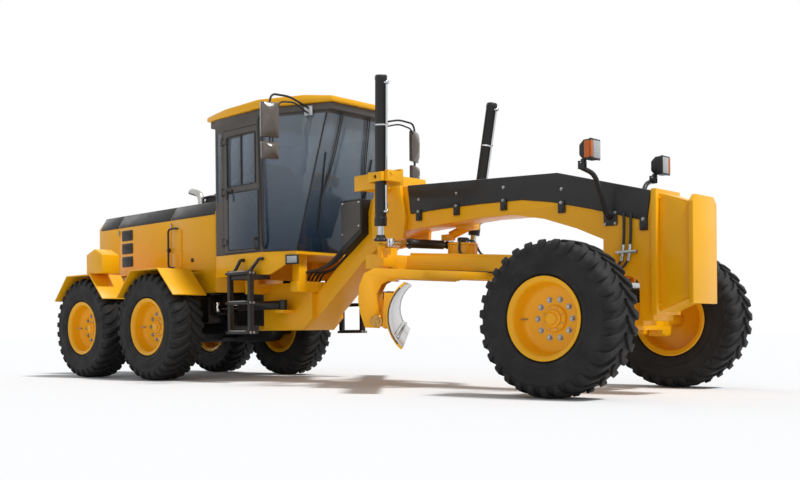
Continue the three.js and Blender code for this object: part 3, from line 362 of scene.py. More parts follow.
# ---- modelling -----------------------------------------------------------------------------
def only(*pieces):
    """Selects these alone, the first one active."""
    bpy.ops.object.select_all(action="DESELECT")
    for piece in pieces:
        piece.select_set(True)
    bpy.context.view_layer.objects.active = pieces[0]


def edit(piece, *steps):
    """Runs mesh operators on all of a piece: each step is an operator and its settings."""
    only(piece)
    bpy.ops.object.mode_set(mode="EDIT")
    bpy.ops.mesh.select_all(action="SELECT")
    for operator, settings in steps:
        operator(**settings)
    bpy.ops.object.mode_set(mode="OBJECT")
    return piece


# Steps for edit().
ALL = (bpy.ops.mesh.select_all, {"action": "SELECT"})
MERGED = (bpy.ops.mesh.remove_doubles, {"threshold": 1e-5})
OUTWARD = (bpy.ops.mesh.normals_make_consistent, {"inside": False})


def pulled(along):
    """The step that extrudes by a vector."""
    return bpy.ops.mesh.extrude_region_move, {"TRANSFORM_OT_translate": {"value": along}}


def cut(count):
    """The step that cuts each edge a number of times."""
    return bpy.ops.mesh.subdivide, {"number_cuts": count}


def modified(piece, kind, **settings):
    """Adds a modifier and applies it."""
    only(piece)
    modifier = piece.modifiers.new(kind.lower(), kind)
    for key, value in settings.items():
        setattr(modifier, key, value)
    bpy.ops.object.modifier_apply(modifier=modifier.name)
    return piece


SHARP = 36   # degrees: edges that turn more than this are rounded and shown sharp


def eased(piece, width=None, segments=2):
    """Rounds a piece's sharp edges."""
    width = sizes().edge if width is None else width
    if not width:
        return piece
    return modified(piece, "BEVEL", width=width, segments=segments, limit_method="ANGLE",
                    angle_limit=radians(SHARP), use_clamp_overlap=True)


def outline(name, points, fill="NGON"):
    """A flat or bent ring of points, as one face or as bare edges."""
    bpy.ops.object.select_all(action="DESELECT")
    bpy.ops.mesh.primitive_circle_add(vertices=len(points), fill_type=fill)
    piece = bpy.context.object
    piece.name = piece.data.name = name
    for vertex, point in zip(piece.data.vertices, points):
        vertex.co = point
    return piece


def drawn(name, points, along, edge=None):
    """A flat outline in space, pulled out by a vector."""
    return eased(edit(outline(name, points), pulled(along), ALL, OUTWARD), edge)


def side_plate(name, points, y0, y1, edge=None):
    """An outline drawn in side view, in tandem measures, between two places across."""
    return drawn(name, [at(x, y0, z) for x, z in points], (0, y1 - y0, 0), edge)


def plan_plate(name, points, z0, z1, edge=None):
    """The same in plan."""
    return drawn(name, [at(x, y, z0) for x, y in points], (0, 0, z1 - z0), edge)


def end_plate(name, points, x0, x1, edge=None):
    """The same in end view."""
    return drawn(name, [at(x0, y, z) for y, z in points], (x1 - x0, 0, 0), edge)


def block(name, low, high, edge=None):
    """A box between two corners, with its edges broken."""
    low, high = Vector(low), Vector(high)
    bpy.ops.object.select_all(action="DESELECT")
    bpy.ops.mesh.primitive_cube_add(size=1, location=(low + high) / 2, scale=high - low)
    piece = bpy.context.object
    piece.name = piece.data.name = name
    bpy.ops.object.transform_apply(location=True, rotation=True, scale=True)
    return eased(piece, edge)


def facing(place, direction):
    """Turns +Z to a direction and moves the origin to a place."""
    turn = Vector(direction).to_track_quat("Z", "Y").to_matrix().to_4x4()
    return Matrix.Translation(place) @ turn


def moved(piece, matrix):
    """Moves a piece in its mesh."""
    piece.data.transform(matrix)
    return piece


def ring(radius, count, start=0.0):
    """Points evenly round a circle, as pairs."""
    angles = [start + 2 * pi / count * i for i in range(count)]
    return [(radius * cos(a), radius * sin(a)) for a in angles]


def turned(name, profile, place, direction, steps=48):
    """A closed profile of (radius, height) points, spun round a line."""
    piece = outline(name, [(r, 0, h) for r, h in profile], "NOTHING")
    spin = {"steps": steps, "angle": 2 * pi, "center": (0, 0, 0), "axis": (0, 0, 1)}
    edit(piece, (bpy.ops.mesh.spin, spin), ALL, MERGED, (bpy.ops.mesh.delete_loose, {}), ALL, OUTWARD)
    return moved(piece, facing(place, direction))


def rod(name, start, end, radius, chamfer=0.003, steps=32):
    """A round bar with broken ends."""
    start, end = Vector(start), Vector(end)
    length = (end - start).length
    chamfer = min(chamfer, radius / 3, length / 3)
    return turned(name, [
        (0, 0), (radius - chamfer, 0), (radius, chamfer), (radius, length - chamfer),
        (radius - chamfer, length), (0, length)], start, end - start, steps)


HALF_LEG = 0.48   # the share of a leg that a bend may take up


def rounded(points, bend, steps=5):
    """A broken line with its corners rounded."""
    points = [Vector(p) for p in points]
    line = [points[0]]
    for before, corner, after in zip(points, points[1:], points[2:]):
        a, b = before - corner, after - corner
        reach = min(bend, a.length * HALF_LEG, b.length * HALF_LEG)
        start, end = corner + a.normalized() * reach, corner + b.normalized() * reach
        for i in range(steps + 1):
            t = i / steps
            line.append(start * (1 - t) ** 2 + corner * 2 * t * (1 - t) + end * t * t)
    return line + [points[-1]]


def pipe(name, points, radius, bend=0.06, resolution=3):
    """A round tube along a broken line, with closed ends."""
    line = rounded(points, bend)
    bpy.ops.object.select_all(action="DESELECT")
    bpy.ops.curve.primitive_nurbs_path_add()
    piece = bpy.context.object
    piece.name = name
    curve = piece.data
    curve.splines.clear()
    spline = curve.splines.new("POLY")
    spline.points.add(len(line) - 1)
    for point, place in zip(spline.points, line):
        point.co = (*place, 1)
    curve.dimensions = "3D"
    curve.bevel_depth, curve.bevel_resolution, curve.use_fill_caps = radius, resolution, True
    only(piece)
    bpy.ops.object.convert(target="MESH")
    piece = bpy.context.object
    piece.matrix_world = Matrix.Identity(4)
    return edit(piece, MERGED, OUTWARD)


def swept(name, sections):
    """A solid through a row of like cross-sections, pulled from one to the next."""
    piece = outline(name, sections[0])
    previous = [Vector(p) for p in sections[0]]
    for section in sections[1:]:
        only(piece)
        bpy.ops.object.mode_set(mode="EDIT")
        bpy.ops.mesh.extrude_region()
        bpy.ops.object.mode_set(mode="OBJECT")
        fresh = [v for v in piece.data.vertices if v.select]
        for old, new in zip(previous, section):
            near = min(fresh, key=lambda v: (v.co - old).length)
            fresh.remove(near)
            near.co = new
        previous = [Vector(p) for p in section]
    return edit(piece, OUTWARD)


def copied(piece, name, matrix=Matrix.Identity(4)):
    """A copy with its own mesh, moved in the mesh."""
    twin = bpy.data.objects.new(name, piece.data.copy())
    twin.data.name = name
    bpy.context.scene.collection.objects.link(twin)
    twin.data.transform(matrix)
    if matrix.determinant() < 0:
        twin.data.flip_normals()
    return twin


def joined(name, pieces):
    """Several pieces as one."""
    only(*pieces)
    if len(pieces) > 1:
        bpy.ops.object.join()
    piece = bpy.context.object
    piece.name = piece.data.name = name
    return piece


def repeated(piece, matrices, name):
    """One piece copied to each place and joined. The pattern piece is used up."""
    whole = joined(name, [copied(piece, name, m) for m in matrices])
    bpy.data.objects.remove(piece)
    return whole


def mirrored(piece, name):
    """The same piece on the other side of the machine."""
    return copied(piece, name, Matrix.Scale(-1, 4, Y))


def bolts(name, places, direction, size=0.012, washer=True):
    """Hexagon bolt heads on washers, all facing one way. Size is half the width across flats."""
    corners, high, chamfer = size * 1.15, size * 1.3, size * 0.16
    head = outline(name + "_head", [(x, y, 0) for x, y in ring(corners, 6)])
    eased(edit(head, pulled((0, 0, high)), ALL, OUTWARD), chamfer, 1)
    if washer:
        wide, thick = size * 1.6, size * 0.25
        disc = rod(name + "_washer", (0, 0, -0.001), (0, 0, thick), wide, chamfer / 2, 16)
        head = joined(name + "_head", [head, disc])
    return repeated(head, [facing(p, direction) for p in places], name)


def refined(node, edge=None):
    """A copy of a CAD node with its flat faces merged and its edges broken, in its place."""
    piece = bpy.data.objects.new(node + "_skin", frame["nodes"][node].data.copy())
    bpy.context.scene.collection.objects.link(piece)
    edit(piece, (bpy.ops.mesh.customdata_custom_splitnormals_clear, {}), MERGED,
         (bpy.ops.mesh.dissolve_limited, {"angle_limit": radians(1)}), ALL, OUTWARD)
    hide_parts(node)
    return eased(piece, edge)


def finished(piece, body, finish, slot, replaces=()):
    """Gives a piece its finish and the body that it rides on."""
    piece.data.materials.clear()
    piece.data.materials.append(surface(finish))
    only(piece)
    bpy.ops.object.shade_smooth_by_angle(angle=radians(SHARP))
    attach(piece, body)
    if replaces:
        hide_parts(*replaces)
    return piece


YELLOW = ("polyurethane_enamel", "yellow_enamel")
BLACK = ("satin_black_enamel", "black_enamel")
CAB_PAINT = ("textured_powder_coat", "cab_paint")
IRON = ("cast_iron", "cast_iron")
ZINC = ("zinc_plate", "cast_iron")
CHROME = ("hard_chrome", "chrome")
STEEL = ("ground_blade_steel", "blade_steel")
RUBBER = ("tyre_compound", "tyre_rubber")
HOSE = ("hose_rubber", "tyre_rubber")
GLASS = ("tinted_safety_glass", "cab_paint")
LENS = ("clear_lens", "chrome")
PLASTIC = ("moulded_polypropylene", "black_enamel")


class Making:
    """What the piece operators share."""

    bl_options = {"REGISTER", "UNDO"}

    def execute(self, context):
        self.make()
        return {"FINISHED"}


# ---- wheels --------------------------------------------------------------------------------
SIDEWALL = (  # radius and distance from the tyre's middle, bead to tread
    (0.3210, 0.1760), (0.3570, 0.1765), (0.3720, 0.2020), (0.3960, 0.2110), (0.4080, 0.2165),
    (0.4200, 0.2115), (0.4480, 0.2165), (0.4560, 0.2200), (0.4680, 0.2170), (0.5000, 0.2180),
    (0.5400, 0.2150), (0.5520, 0.2180), (0.5640, 0.2120), (0.5900, 0.2020), (0.6120, 0.1880),
    (0.6260, 0.1640), (0.6330, 0.1200), (0.6360, 0.0600))
SHOULDER, TREAD_FLOOR = 0.2, 0.618
LUG = (  # distance from the middle, top radius, turn behind the apex, half width round
    (0.0060, 0.6596, 0.000, 0.028), (0.0500, 0.6594, 0.070, 0.034), (0.0950, 0.6590, 0.128, 0.040),
    (0.1450, 0.6570, 0.168, 0.045), (0.1860, 0.6480, 0.186, 0.048), (0.2080, 0.6260, 0.192, 0.048),
    (0.2175, 0.5960, 0.194, 0.044), (0.2190, 0.5660, 0.195, 0.036))
RIM = (  # radius and distance towards the outside
    (0.0000, 0.0840), (0.0440, 0.0840), (0.0500, 0.0790), (0.0520, 0.0660), (0.0700, 0.0620),
    (0.0760, 0.0560), (0.0780, 0.0400), (0.1060, 0.0340), (0.1120, 0.0270), (0.1140, 0.0130),
    (0.1950, 0.0120), (0.2180, 0.0180), (0.2560, 0.0240), (0.2800, 0.0400), (0.2930, 0.0700),
    (0.2960, 0.1500), (0.3020, 0.1720), (0.3160, 0.1900), (0.3400, 0.1990), (0.3500, 0.1980),
    (0.3524, 0.1930), (0.3500, 0.1860), (0.3400, 0.1830), (0.3170, 0.1740), (0.3170, -0.1740),
    (0.3500, -0.1800), (0.3524, -0.1930), (0.3400, -0.1990), (0.3020, -0.1800), (0.2950, -0.1500),
    (0.2950, -0.0200), (0.0000, -0.0200))


def tyre_pattern():
    """One tyre about its own middle, axle along Y: ringed sidewalls and V-shaped lugs."""
    profile = [*SIDEWALL, *[(r, -a) for r, a in reversed(SIDEWALL)]]
    carcass = turned("tyre_carcass", profile, (0, 0, 0), Y, 120)
    pitch = 2 * pi / sizes().lugs
    sections = []
    for across, top, turn, half in LUG:
        tread = across < SHOULDER   # beyond it, the lug runs down the sidewall
        foot = min(TREAD_FLOOR, top - 0.012) if tread else top - 0.016
        inward = 0.0 if tread else 0.02
        sections.append([
            (r * cos(a - turn), across - dip, r * sin(a - turn))
            for r, a, dip in (
                (foot, -half * 1.25, inward), (top, -half, 0), (top, half, 0), (foot, half * 1.25, inward))])
    lug = eased(swept("tyre_lug", sections), 0.004, 1)
    other = copied(lug, "tyre_lug_far", Matrix.Rotation(pitch / 2, 4, Y) @ Matrix.Scale(-1, 4, Y))
    both = joined("tyre_lug_pair", [lug, other])
    turns = [Matrix.Rotation(pitch * i, 4, Y) for i in range(sizes().lugs)]
    return joined("tyre_pattern", [carcass, repeated(both, turns, "tyre_tread")])


class GRADER_OT_wheels(Making, bpy.types.Operator):
    """Six lugged tyres on their rims, with nuts, hub plugs and valves"""

    bl_idname = "grader.wheels"
    bl_label = "Wheels"

    def make(self):
        tyre = tyre_pattern()
        rim = turned("rim_pattern", RIM, (0, 0, 0), Y, 96)
        nuts = bolts("nut_pattern", [(x, 0.0115, z) for x, z in ring(0.165, 10)], Y, 0.017)
        hub = bolts("hub_pattern", [(x, 0.0370, z) for x, z in ring(0.091, 8, pi / 8)],
                    Y, 0.006, washer=False)
        valve = pipe("valve_pattern", [(0.26, 0.02, 0), (0.262, 0.05, 0), (0.285, 0.09, 0)], 0.006, 0.01)
        trim = joined("wheel_trim_pattern", [nuts, hub, valve])
        for axle in ("front", "mid", "rear"):
            for side, s in SIDES:
                wheel = f"{axle}_{side}"
                move = Matrix.Translation(middle(f"tyre_{wheel}"))
                turn = move @ (Matrix.Identity(4) if s > 0 else Matrix.Rotation(pi, 4, "Z"))
                body = f"wheel_{wheel}"
                finished(copied(tyre, f"tread_{wheel}", move), body, *RUBBER, [f"tyre_{wheel}"])
                finished(copied(rim, f"disc_{wheel}", turn), body, *YELLOW, [f"rim_{wheel}"])
                finished(copied(trim, f"nuts_{wheel}", turn), body, *ZINC)
        for pattern in (tyre, rim, trim):
            bpy.data.objects.remove(pattern)


# ---- stage ---------------------------------------------------------------------------------
EYE = at(11.06314, -8.27237, 0.54811)
TURN, PITCH, ROLL = 0.803615, -0.004247, 0.009163   # radians
FOCAL, SENSOR, SHIFT, FAR_CLIP = 44.9515, 36, (0.10136, 0.12325), 400
LAMPS = (  # name, the light's direction, strength, spread in degrees
    ("key", (-0.50, -0.12, -0.87), 2.7, 9), ("fill", (-0.55, 0.75, -0.35), 0.35, 50),
    ("back", (0.9, -0.2, -0.5), 0.4, 40))
SKY, SKY_STRENGTH = "E9EEF4", 0.38
FLOOR_SIZE, FLOOR_GAP = 300, 0.001
FLOOR_MATT, FLOOR_PALE, FLOOR_GLOW = 0.7, 0.84, 0.01   # as light bounces from it, and as it is seen


class GRADER_OT_stage(Making, bpy.types.Operator):
    """Camera, soft studio lights and a pale floor"""

    bl_idname = "grader.stage"
    bl_label = "Stage"

    def make(self):
        scene = bpy.context.scene
        scene.view_settings.view_transform = "Standard"
        bpy.ops.object.camera_add()
        camera = bpy.context.object
        camera.name = "camera"
        camera.matrix_world = (
            Matrix.Translation(EYE) @ Matrix.Rotation(TURN, 4, "Z")
            @ Matrix.Rotation(pi / 2 + PITCH, 4, "X") @ Matrix.Rotation(-ROLL, 4, "Z"))
        camera.data.lens, camera.data.sensor_width, camera.data.clip_end = FOCAL, SENSOR, FAR_CLIP
        camera.data.shift_x, camera.data.shift_y = SHIFT
        scene.camera = camera
        for name, towards, strength, spread in LAMPS:
            bpy.ops.object.light_add(type="SUN")
            light = bpy.context.object
            light.name = name
            light.rotation_euler = Vector(towards).to_track_quat("-Z", "Y").to_euler()
            light.data.energy, light.data.angle = strength, radians(spread)
        self.world(scene)
        self.floor()

    def world(self, scene):
        """Soft light from all round, and plain white where it is seen."""
        world = bpy.data.worlds.new("studio")
        scene.world = world
        world.use_nodes = True
        tree = world.node_tree
        tree.nodes.clear()
        soft = add_node(tree, "ShaderNodeBackground", {
            "Color": (*linear(SKY), 1), "Strength": SKY_STRENGTH})
        white = add_node(tree, "ShaderNodeBackground", {"Color": (*grey(1), 1), "Strength": 1.0})
        mixed = add_node(tree, "ShaderNodeMixShader", {
            0: self.seen(tree), 1: soft.outputs[0], 2: white.outputs[0]})
        add_node(tree, "ShaderNodeOutputWorld", {"Surface": mixed.outputs[0]})

    def seen(self, tree):
        """One where a ray comes from the eye, or by way of metal or glass."""
        path = add_node(tree, "ShaderNodeLightPath").outputs
        either = add_node(tree, "ShaderNodeMath", {
            0: path["Is Camera Ray"], 1: path["Is Transmission Ray"]}, operation="MAXIMUM")
        return add_node(tree, "ShaderNodeMath", {
            0: either.outputs[0], 1: path["Is Glossy Ray"]}, operation="MAXIMUM").outputs[0]

    def floor(self):
        """A pale floor that keeps the shadow."""
        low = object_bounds()[0]
        bpy.ops.object.select_all(action="DESELECT")
        bpy.ops.mesh.primitive_plane_add(size=FLOOR_SIZE, location=(0, 0, low[2] - FLOOR_GAP))
        floor = bpy.context.object
        floor.name = "floor"
        material, tree = blank("pale_floor")
        matt = add_node(tree, "ShaderNodeBsdfDiffuse", {"Color": (*grey(FLOOR_MATT), 1)})
        pale = add_node(tree, "ShaderNodeBsdfDiffuse", {"Color": (*grey(FLOOR_PALE), 1)})
        glow = add_node(tree, "ShaderNodeEmission", {"Color": (*grey(1), 1), "Strength": FLOOR_GLOW})
        both = add_node(tree, "ShaderNodeAddShader", {0: pale.outputs[0], 1: glow.outputs[0]})
        mixed = add_node(tree, "ShaderNodeMixShader", {
            0: self.seen(tree), 1: matt.outputs[0], 2: both.outputs[0]})
        add_node(tree, "ShaderNodeOutputMaterial", {"Surface": mixed.outputs[0]})
        floor.data.materials.append(material)
        floor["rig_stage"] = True


# ---- carried-over pieces -------------------------------------------------------------------
# Each node with its look and its edge break. Nodes that new pieces stand for aren't here.
SKINS = (
    ("front_frame", YELLOW, 0.008), ("nose_block", YELLOW, 0.006), ("front_axle", YELLOW, 0.01),
    ("lift_saddle", YELLOW, 0.008), ("cab_base", YELLOW, 0.006), ("cab_frame", CAB_PAINT, 0.006),
    ("cab_roof", YELLOW, 0.014), ("valve_box", BLACK, 0.012), ("ladder_right", BLACK, 0.004),
    ("ladder_left", BLACK, 0.004), ("rear_frame", BLACK, 0.008), ("engine_block", IRON, 0.01),
    ("tandem_case_right", BLACK, 0.012), ("tandem_case_left", BLACK, 0.012),
    ("fender_right", YELLOW, 0.004), ("fender_left", YELLOW, 0.004), ("engine_hood", YELLOW, 0.012),
    ("lean_fork_right", YELLOW, 0.006), ("lean_fork_left", YELLOW, 0.006),
    ("steering_knuckle_right", YELLOW, 0.006), ("steering_knuckle_left", YELLOW, 0.006),
    ("lean_bar", CHROME, 0.003), ("cab_door_right", CAB_PAINT, 0.005),
    ("cab_door_left", CAB_PAINT, 0.005), ("drawbar", YELLOW, 0.008), ("circle", YELLOW, 0.006),
    ("blade_carrier", YELLOW, 0.005), ("lift_yoke_right", YELLOW, 0.005),
    ("lift_yoke_left", YELLOW, 0.005),
)
GRILLE_DEPTH = 0.034   # how far the hood's rear wall is set in, to make room for the grille


def body_of(node):
    """The body that a CAD node rides on."""
    return frame["nodes"][node]["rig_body"]


class GRADER_OT_skins(Making, bpy.types.Operator):
    """The welded and cast pieces, with their edges broken"""

    bl_idname = "grader.skins"
    bl_label = "Frames and castings"

    def make(self):
        for node, look, edge in SKINS:
            skin = refined(node, edge)
            if node == "engine_hood":
                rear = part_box(node)[0].x
                for vertex in skin.data.vertices:
                    if vertex.co.x < rear + edge * 1.2:
                        vertex.co.x += GRILLE_DEPTH
            finished(skin, body_of(node), *look)


# ---- shared shapes -------------------------------------------------------------------------
def pair(piece, body, look, replaces=()):
    """Finishes a right-hand piece and its mirror image. Names may hold {side}."""
    name = piece.name
    twin = mirrored(piece, name + "_left")
    piece.name = piece.data.name = name + "_right"
    for made, side in ((piece, "right"), (twin, "left")):
        finished(made, body.format(side=side), *look, [node.format(side=side) for node in replaces])


def rounded_rect(u0, v0, u1, v1, r, steps=4):
    """Corner points of a rectangle with round corners."""
    points = []
    for cu, cv, start in ((u1 - r, v1 - r, 0), (u0 + r, v1 - r, 90), (u0 + r, v0 + r, 180),
                          (u1 - r, v0 + r, 270)):
        for i in range(steps + 1):
            a = radians(start + 90 * i / steps)
            points.append((cu + r * cos(a), cv + r * sin(a)))
    return points


def loop(name, corners, radius):
    """A seal: a thin round cord laid round the corners of a pane."""
    middle_point = (corners[0] + corners[-1]) / 2
    return pipe(name, [middle_point, *corners, middle_point], radius, radius * 3, 1)


# ---- hood ----------------------------------------------------------------------------------
HOOD_HALF = 0.56
HOOD_SEAMS = ((-1.44, -0.943), (-0.937, 0.302), (0.308, 1.225))   # each panel's ends
COVER_REAR, COVER_TOP_Z, COVER_SIDE_Z, COVER_FOOT_Z = -1.405, 2.235, 2.088, 2.052
PANEL_LOW, PANEL_HIGH, PANEL_PROUD = 1.10, 2.044, 0.004
LOUVRE = (-0.86, 1.865, -0.60, 2.01)   # the highest louvre's rear and lower, front and upper edge
LOUVRE_STEP, SLAT_STEP, SLAT_INSET = 0.181, 0.019, 0.018
GRILLE_BARS, GRILLE_STEP = 16, 0.045


class GRADER_OT_hood(Making, bpy.types.Operator):
    """Hood panels, black top cover, louvres, grab rails, intake, exhaust and rear grille"""

    bl_idname = "grader.hood"
    bl_label = "Hood"

    def make(self):
        body = "rear_frame"
        out = HOOD_HALF + PANEL_PROUD
        half = [(-out, COVER_FOOT_Z), (-out, COVER_SIDE_Z), (-0.474, COVER_TOP_Z)]
        section = half + [(-y, z) for y, z in reversed(half)]
        for i, (x0, x1) in enumerate(HOOD_SEAMS):
            panel = block(f"hood_panel_{i}", at(x0, -out, PANEL_LOW),
                          at(x1, -HOOD_HALF + 0.01, PANEL_HIGH), 0.003)
            pair(panel, body, YELLOW)
            finished(end_plate(f"hood_cover_{i}", section, max(x0, COVER_REAR), x1, 0.006), body, *BLACK)
        finished(plan_plate("hood_cover_front", [
            (1.228, -0.47), (1.425, -0.10), (1.425, 0.10), (1.228, 0.47)], 2.2, 2.234), body, *BLACK)
        corner = drawn("hood_corner", [
            at(1.245, -0.566, COVER_FOOT_Z), at(1.245, -0.566, COVER_SIDE_Z), at(1.245, -0.47, COVER_TOP_Z),
            at(1.445, -0.105, COVER_TOP_Z), at(1.47, -0.09, COVER_FOOT_Z)], (-0.03, 0.02, 0), 0.004)
        pair(corner, body, BLACK)
        self.louvres(body)
        self.rails(body)
        self.stack(body)
        self.back(body)

    def louvres(self, body):
        """Three louvres of six slats, one above another."""
        x0, z0, x1, z1 = LOUVRE
        frame_plate = side_plate("louvre", rounded_rect(x0, z0, x1, z1, 0.022), -0.572, -0.560, 0.003)
        slats = [block("slat", at(x0 + SLAT_INSET, -0.579, z), at(x1 - SLAT_INSET, -0.566, z + 0.007), 0.002)
                 for z in (z0 + SLAT_INSET + SLAT_STEP * i for i in range(6))]
        one = joined("louvre", [frame_plate, *slats])
        places = [Matrix.Translation((0, 0, -LOUVRE_STEP * i)) for i in range(3)]
        pair(repeated(one, places, "louvres"), body, BLACK)

    def rails(self, body):
        """Grab rail, knob, latch, pressed rib and hinges on the hood's side."""
        rail = pipe("hood_rail", [at(0.45, -0.565, 1.94), at(0.42, -0.61, 1.94), at(0.30, -0.615, 1.935),
                                  at(0.30, -0.615, 1.44), at(0.36, -0.565, 1.43)], 0.013, 0.05)
        knob = rod("hood_knob", at(0.258, -0.56, 1.667), at(0.258, -0.59, 1.667), 0.03)
        latch = side_plate("hood_latch", rounded_rect(0.735, 1.485, 0.778, 1.535, 0.012),
                           -0.578, -0.56, 0.003)
        pair(joined("hood_rails", [rail, knob, latch]), body, BLACK)
        pair(side_plate("hood_rib", rounded_rect(0.385, 1.41, 0.532, 1.93, 0.045), -0.576, -0.56, 0.007),
             body, YELLOW)
        hinges = [rod("hood_hinge", at(x, -0.572, z), at(x, -0.572, z + 0.07), 0.009, steps=12)
                  for x in (-0.94, 0.305) for z in (1.2, 1.95)]
        pair(joined("hood_hinges", hinges), body, ZINC)

    def stack(self, body):
        """Air intake, filler cap and the exhaust's mitred tube."""
        place = at(0.57, -0.02, 2.23)
        bowl = turned("intake_bowl", [
            (0, 0), (0.15, 0), (0.155, 0.01), (0.155, 0.03), (0.148, 0.036), (0.148, 0.075), (0.158, 0.08),
            (0.158, 0.095), (0.148, 0.10), (0.148, 0.13), (0.17, 0.134), (0.172, 0.15), (0.12, 0.168),
            (0, 0.172)],
            place, Z, 48)
        clip = rod("intake_clip", at(0.57, -0.02, 2.40), at(0.57, -0.02, 2.425), 0.03)
        cap = rod("filler_cap", at(0.84, -0.18, 2.23), at(0.84, -0.18, 2.30), 0.035, 0.008)
        finished(joined("intake", [bowl, clip, cap]), body, *BLACK)
        tip = pipe("exhaust_tube", [at(0.50, -0.22, 2.20), at(0.50, -0.22, 2.41), at(0.26, -0.22, 2.478)],
                   0.045, 0.1, 4)
        edit(tip, (bpy.ops.mesh.bisect, {"plane_co": at(0.285, -0.22, 2.47), "plane_no": (-0.75, 0, 0.66),
                                         "clear_outer": True, "use_fill": True}))
        collar = rod("exhaust_collar", at(0.50, -0.22, 2.225), at(0.50, -0.22, 2.262), 0.062)
        finished(joined("exhaust", [tip, collar]), body, "brushed_stainless", "chrome", ["exhaust_pipe"])

    def back(self, body):
        """Grille, tail lamps, bumper and tow hook."""
        frame_plate = end_plate("grille_frame", rounded_rect(-0.44, 1.22, 0.44, 1.98, 0.04),
                                -1.482, -1.46, 0.004)
        bars = [block("grille_bar", at(-1.494, -0.40, z), at(-1.475, 0.40, z + 0.022), 0.004)
                for z in (1.25 + GRILLE_STEP * i for i in range(GRILLE_BARS))]
        post = block("grille_post", at(-1.493, -0.02, 1.24), at(-1.472, 0.02, 1.96), 0.004)
        finished(joined("grille", [frame_plate, *bars, post]), body, *BLACK)
        for name, y0, y1, lens in (("tail_lamp", -0.545, -0.46, "red_lens"),
                                   ("tail_turn_lamp", -0.445, -0.38, "amber_lens")):
            lamp = end_plate(name, rounded_rect(y0, 1.13, y1, 1.19, 0.012), -1.494, -1.46, 0.006)
            pair(lamp, body, (lens, "black_enamel"))
        bumper = plan_plate("rear_bumper", [(-1.45, -0.5), (-1.41, -0.52), (-1.36, -0.38), (-1.36, 0.38),
                                            (-1.41, 0.52), (-1.45, 0.5)], 0.86, 1.05, 0.012)
        hook = pipe("tow_hook", [at(-1.40, 0, 0.98), at(-1.478, 0, 0.98), at(-1.478, 0, 0.90),
                                 at(-1.42, 0, 0.89)], 0.018, 0.03)
        finished(joined("rear_bumper", [bumper, hook]), body, *BLACK)


# ---- fenders, tandems ----------------------------------------------------------------------
AXLE_Z, AXLE_REACH = 0.66, 0.775   # height of the wheels' axles, and how far they lie from the middle


class GRADER_OT_tandems(Making, bpy.types.Operator):
    """Fender box, fender brackets, tandem covers and axle housings"""

    bl_idname = "grader.tandems"
    bl_label = "Fenders and tandems"

    def make(self):
        body = "rear_frame"
        finished(side_plate("fender_box", [
            (-0.605, 1.372), (-0.215, 1.372), (-0.215, 1.615), (-0.40, 1.695), (-0.605, 1.625)],
            -1.29, -1.03, 0.008), body, *YELLOW)
        lip = joined("fender_lip", [pipe("lip", [
            at(c - 0.607, -1.318, 1.036), at(c - 0.288, -1.318, 1.361), at(c + 0.288, -1.318, 1.361),
            at(c + 0.607, -1.318, 1.036)], 0.007, 0.01, 1) for c in (-AXLE_REACH, AXLE_REACH)])
        pair(lip, body, YELLOW)
        stays = joined("fender_stay", [
            pipe("stay", [at(c, -0.60, 1.05), at(c, -0.75, 1.19), at(c, -0.86, 1.35)], 0.018, 0.05, 2)
            for c in (-0.9, 0.9)])
        pair(stays, body, BLACK)
        flange = turned("pivot_cover", [
            (0, 0), (0.17, 0), (0.175, 0.006), (0.17, 0.02), (0.08, 0.03), (0, 0.03)],
            at(0, -0.833, AXLE_Z), -Y, 48)
        pair(flange, body, BLACK)
        places = [at(x, -0.852, AXLE_Z + z) for x, z in ring(0.14, 12)]
        places += [at(x, -0.8348, z) for x in (-0.5, -0.25, 0.25, 0.5) for z in (0.49, 0.83)]
        pair(bolts("tandem_bolt", places, -Y, 0.012), body, ZINC)
        half = [(0, -0.30), (0.19, -0.30), (0.21, -0.28), (0.21, -0.05), (0.25, -0.03)]
        drum = turned("axle_drum", half + [(r, -h) for r, h in reversed(half)], at(0, 0, AXLE_Z), Y, 48)
        finished(drum, body, *IRON)
        shaft = rod("drive_shaft", at(0.33, 0, 0.70), at(1.12, 0, 0.70), 0.05)
        finished(shaft, body, *IRON)
        tank = block("fuel_tank", at(0.55, -0.52, 0.70), at(1.02, -0.24, 1.05), 0.03)
        pair(tank, body, BLACK)


# ---- cab -----------------------------------------------------------------------------------
CAB_HALF, CAB_WIDE, CAB_SILL, CAB_HEADER = 0.79, 2.37, 1.50, 3.14
SCREEN_FOOT, SCREEN_HEAD, NOSE_HALF = 2.76, 3.12, 0.42
CHEEK = atan2(CAB_HALF - NOSE_HALF, SCREEN_HEAD - CAB_WIDE)
GLASS_LOW, GLASS_HIGH = 1.506, 3.03
SCREEN_LEAN = (SCREEN_HEAD - SCREEN_FOOT) / (CAB_HEADER - CAB_SILL)
FACING_CHEEK = Vector((sin(CHEEK), -cos(CHEEK), 0))


def upright(x0, x1, z0, z1):
    """The corners of a pane in side or end view."""
    return (x0, z0), (x1, z0), (x1, z1), (x0, z1)


def screen_x(z):
    """Where the windscreen's plane is, at a height."""
    return SCREEN_FOOT + SCREEN_LEAN * (z - CAB_SILL)


def cheek_y(x):
    """Half the cab's width where the slanting walls are."""
    return CAB_HALF - tan(CHEEK) * (x - CAB_WIDE)


def on_cheek(along, out, z):
    """A point on the slanting right wall beside the windscreen."""
    return at(CAB_WIDE + along * cos(CHEEK) + out * sin(CHEEK),
              -(CAB_HALF - along * sin(CHEEK) + out * cos(CHEEK)), z)


def cheek_length(z):
    """How long the slanting wall is, at a height."""
    return (screen_x(z) - CAB_WIDE) / cos(CHEEK)


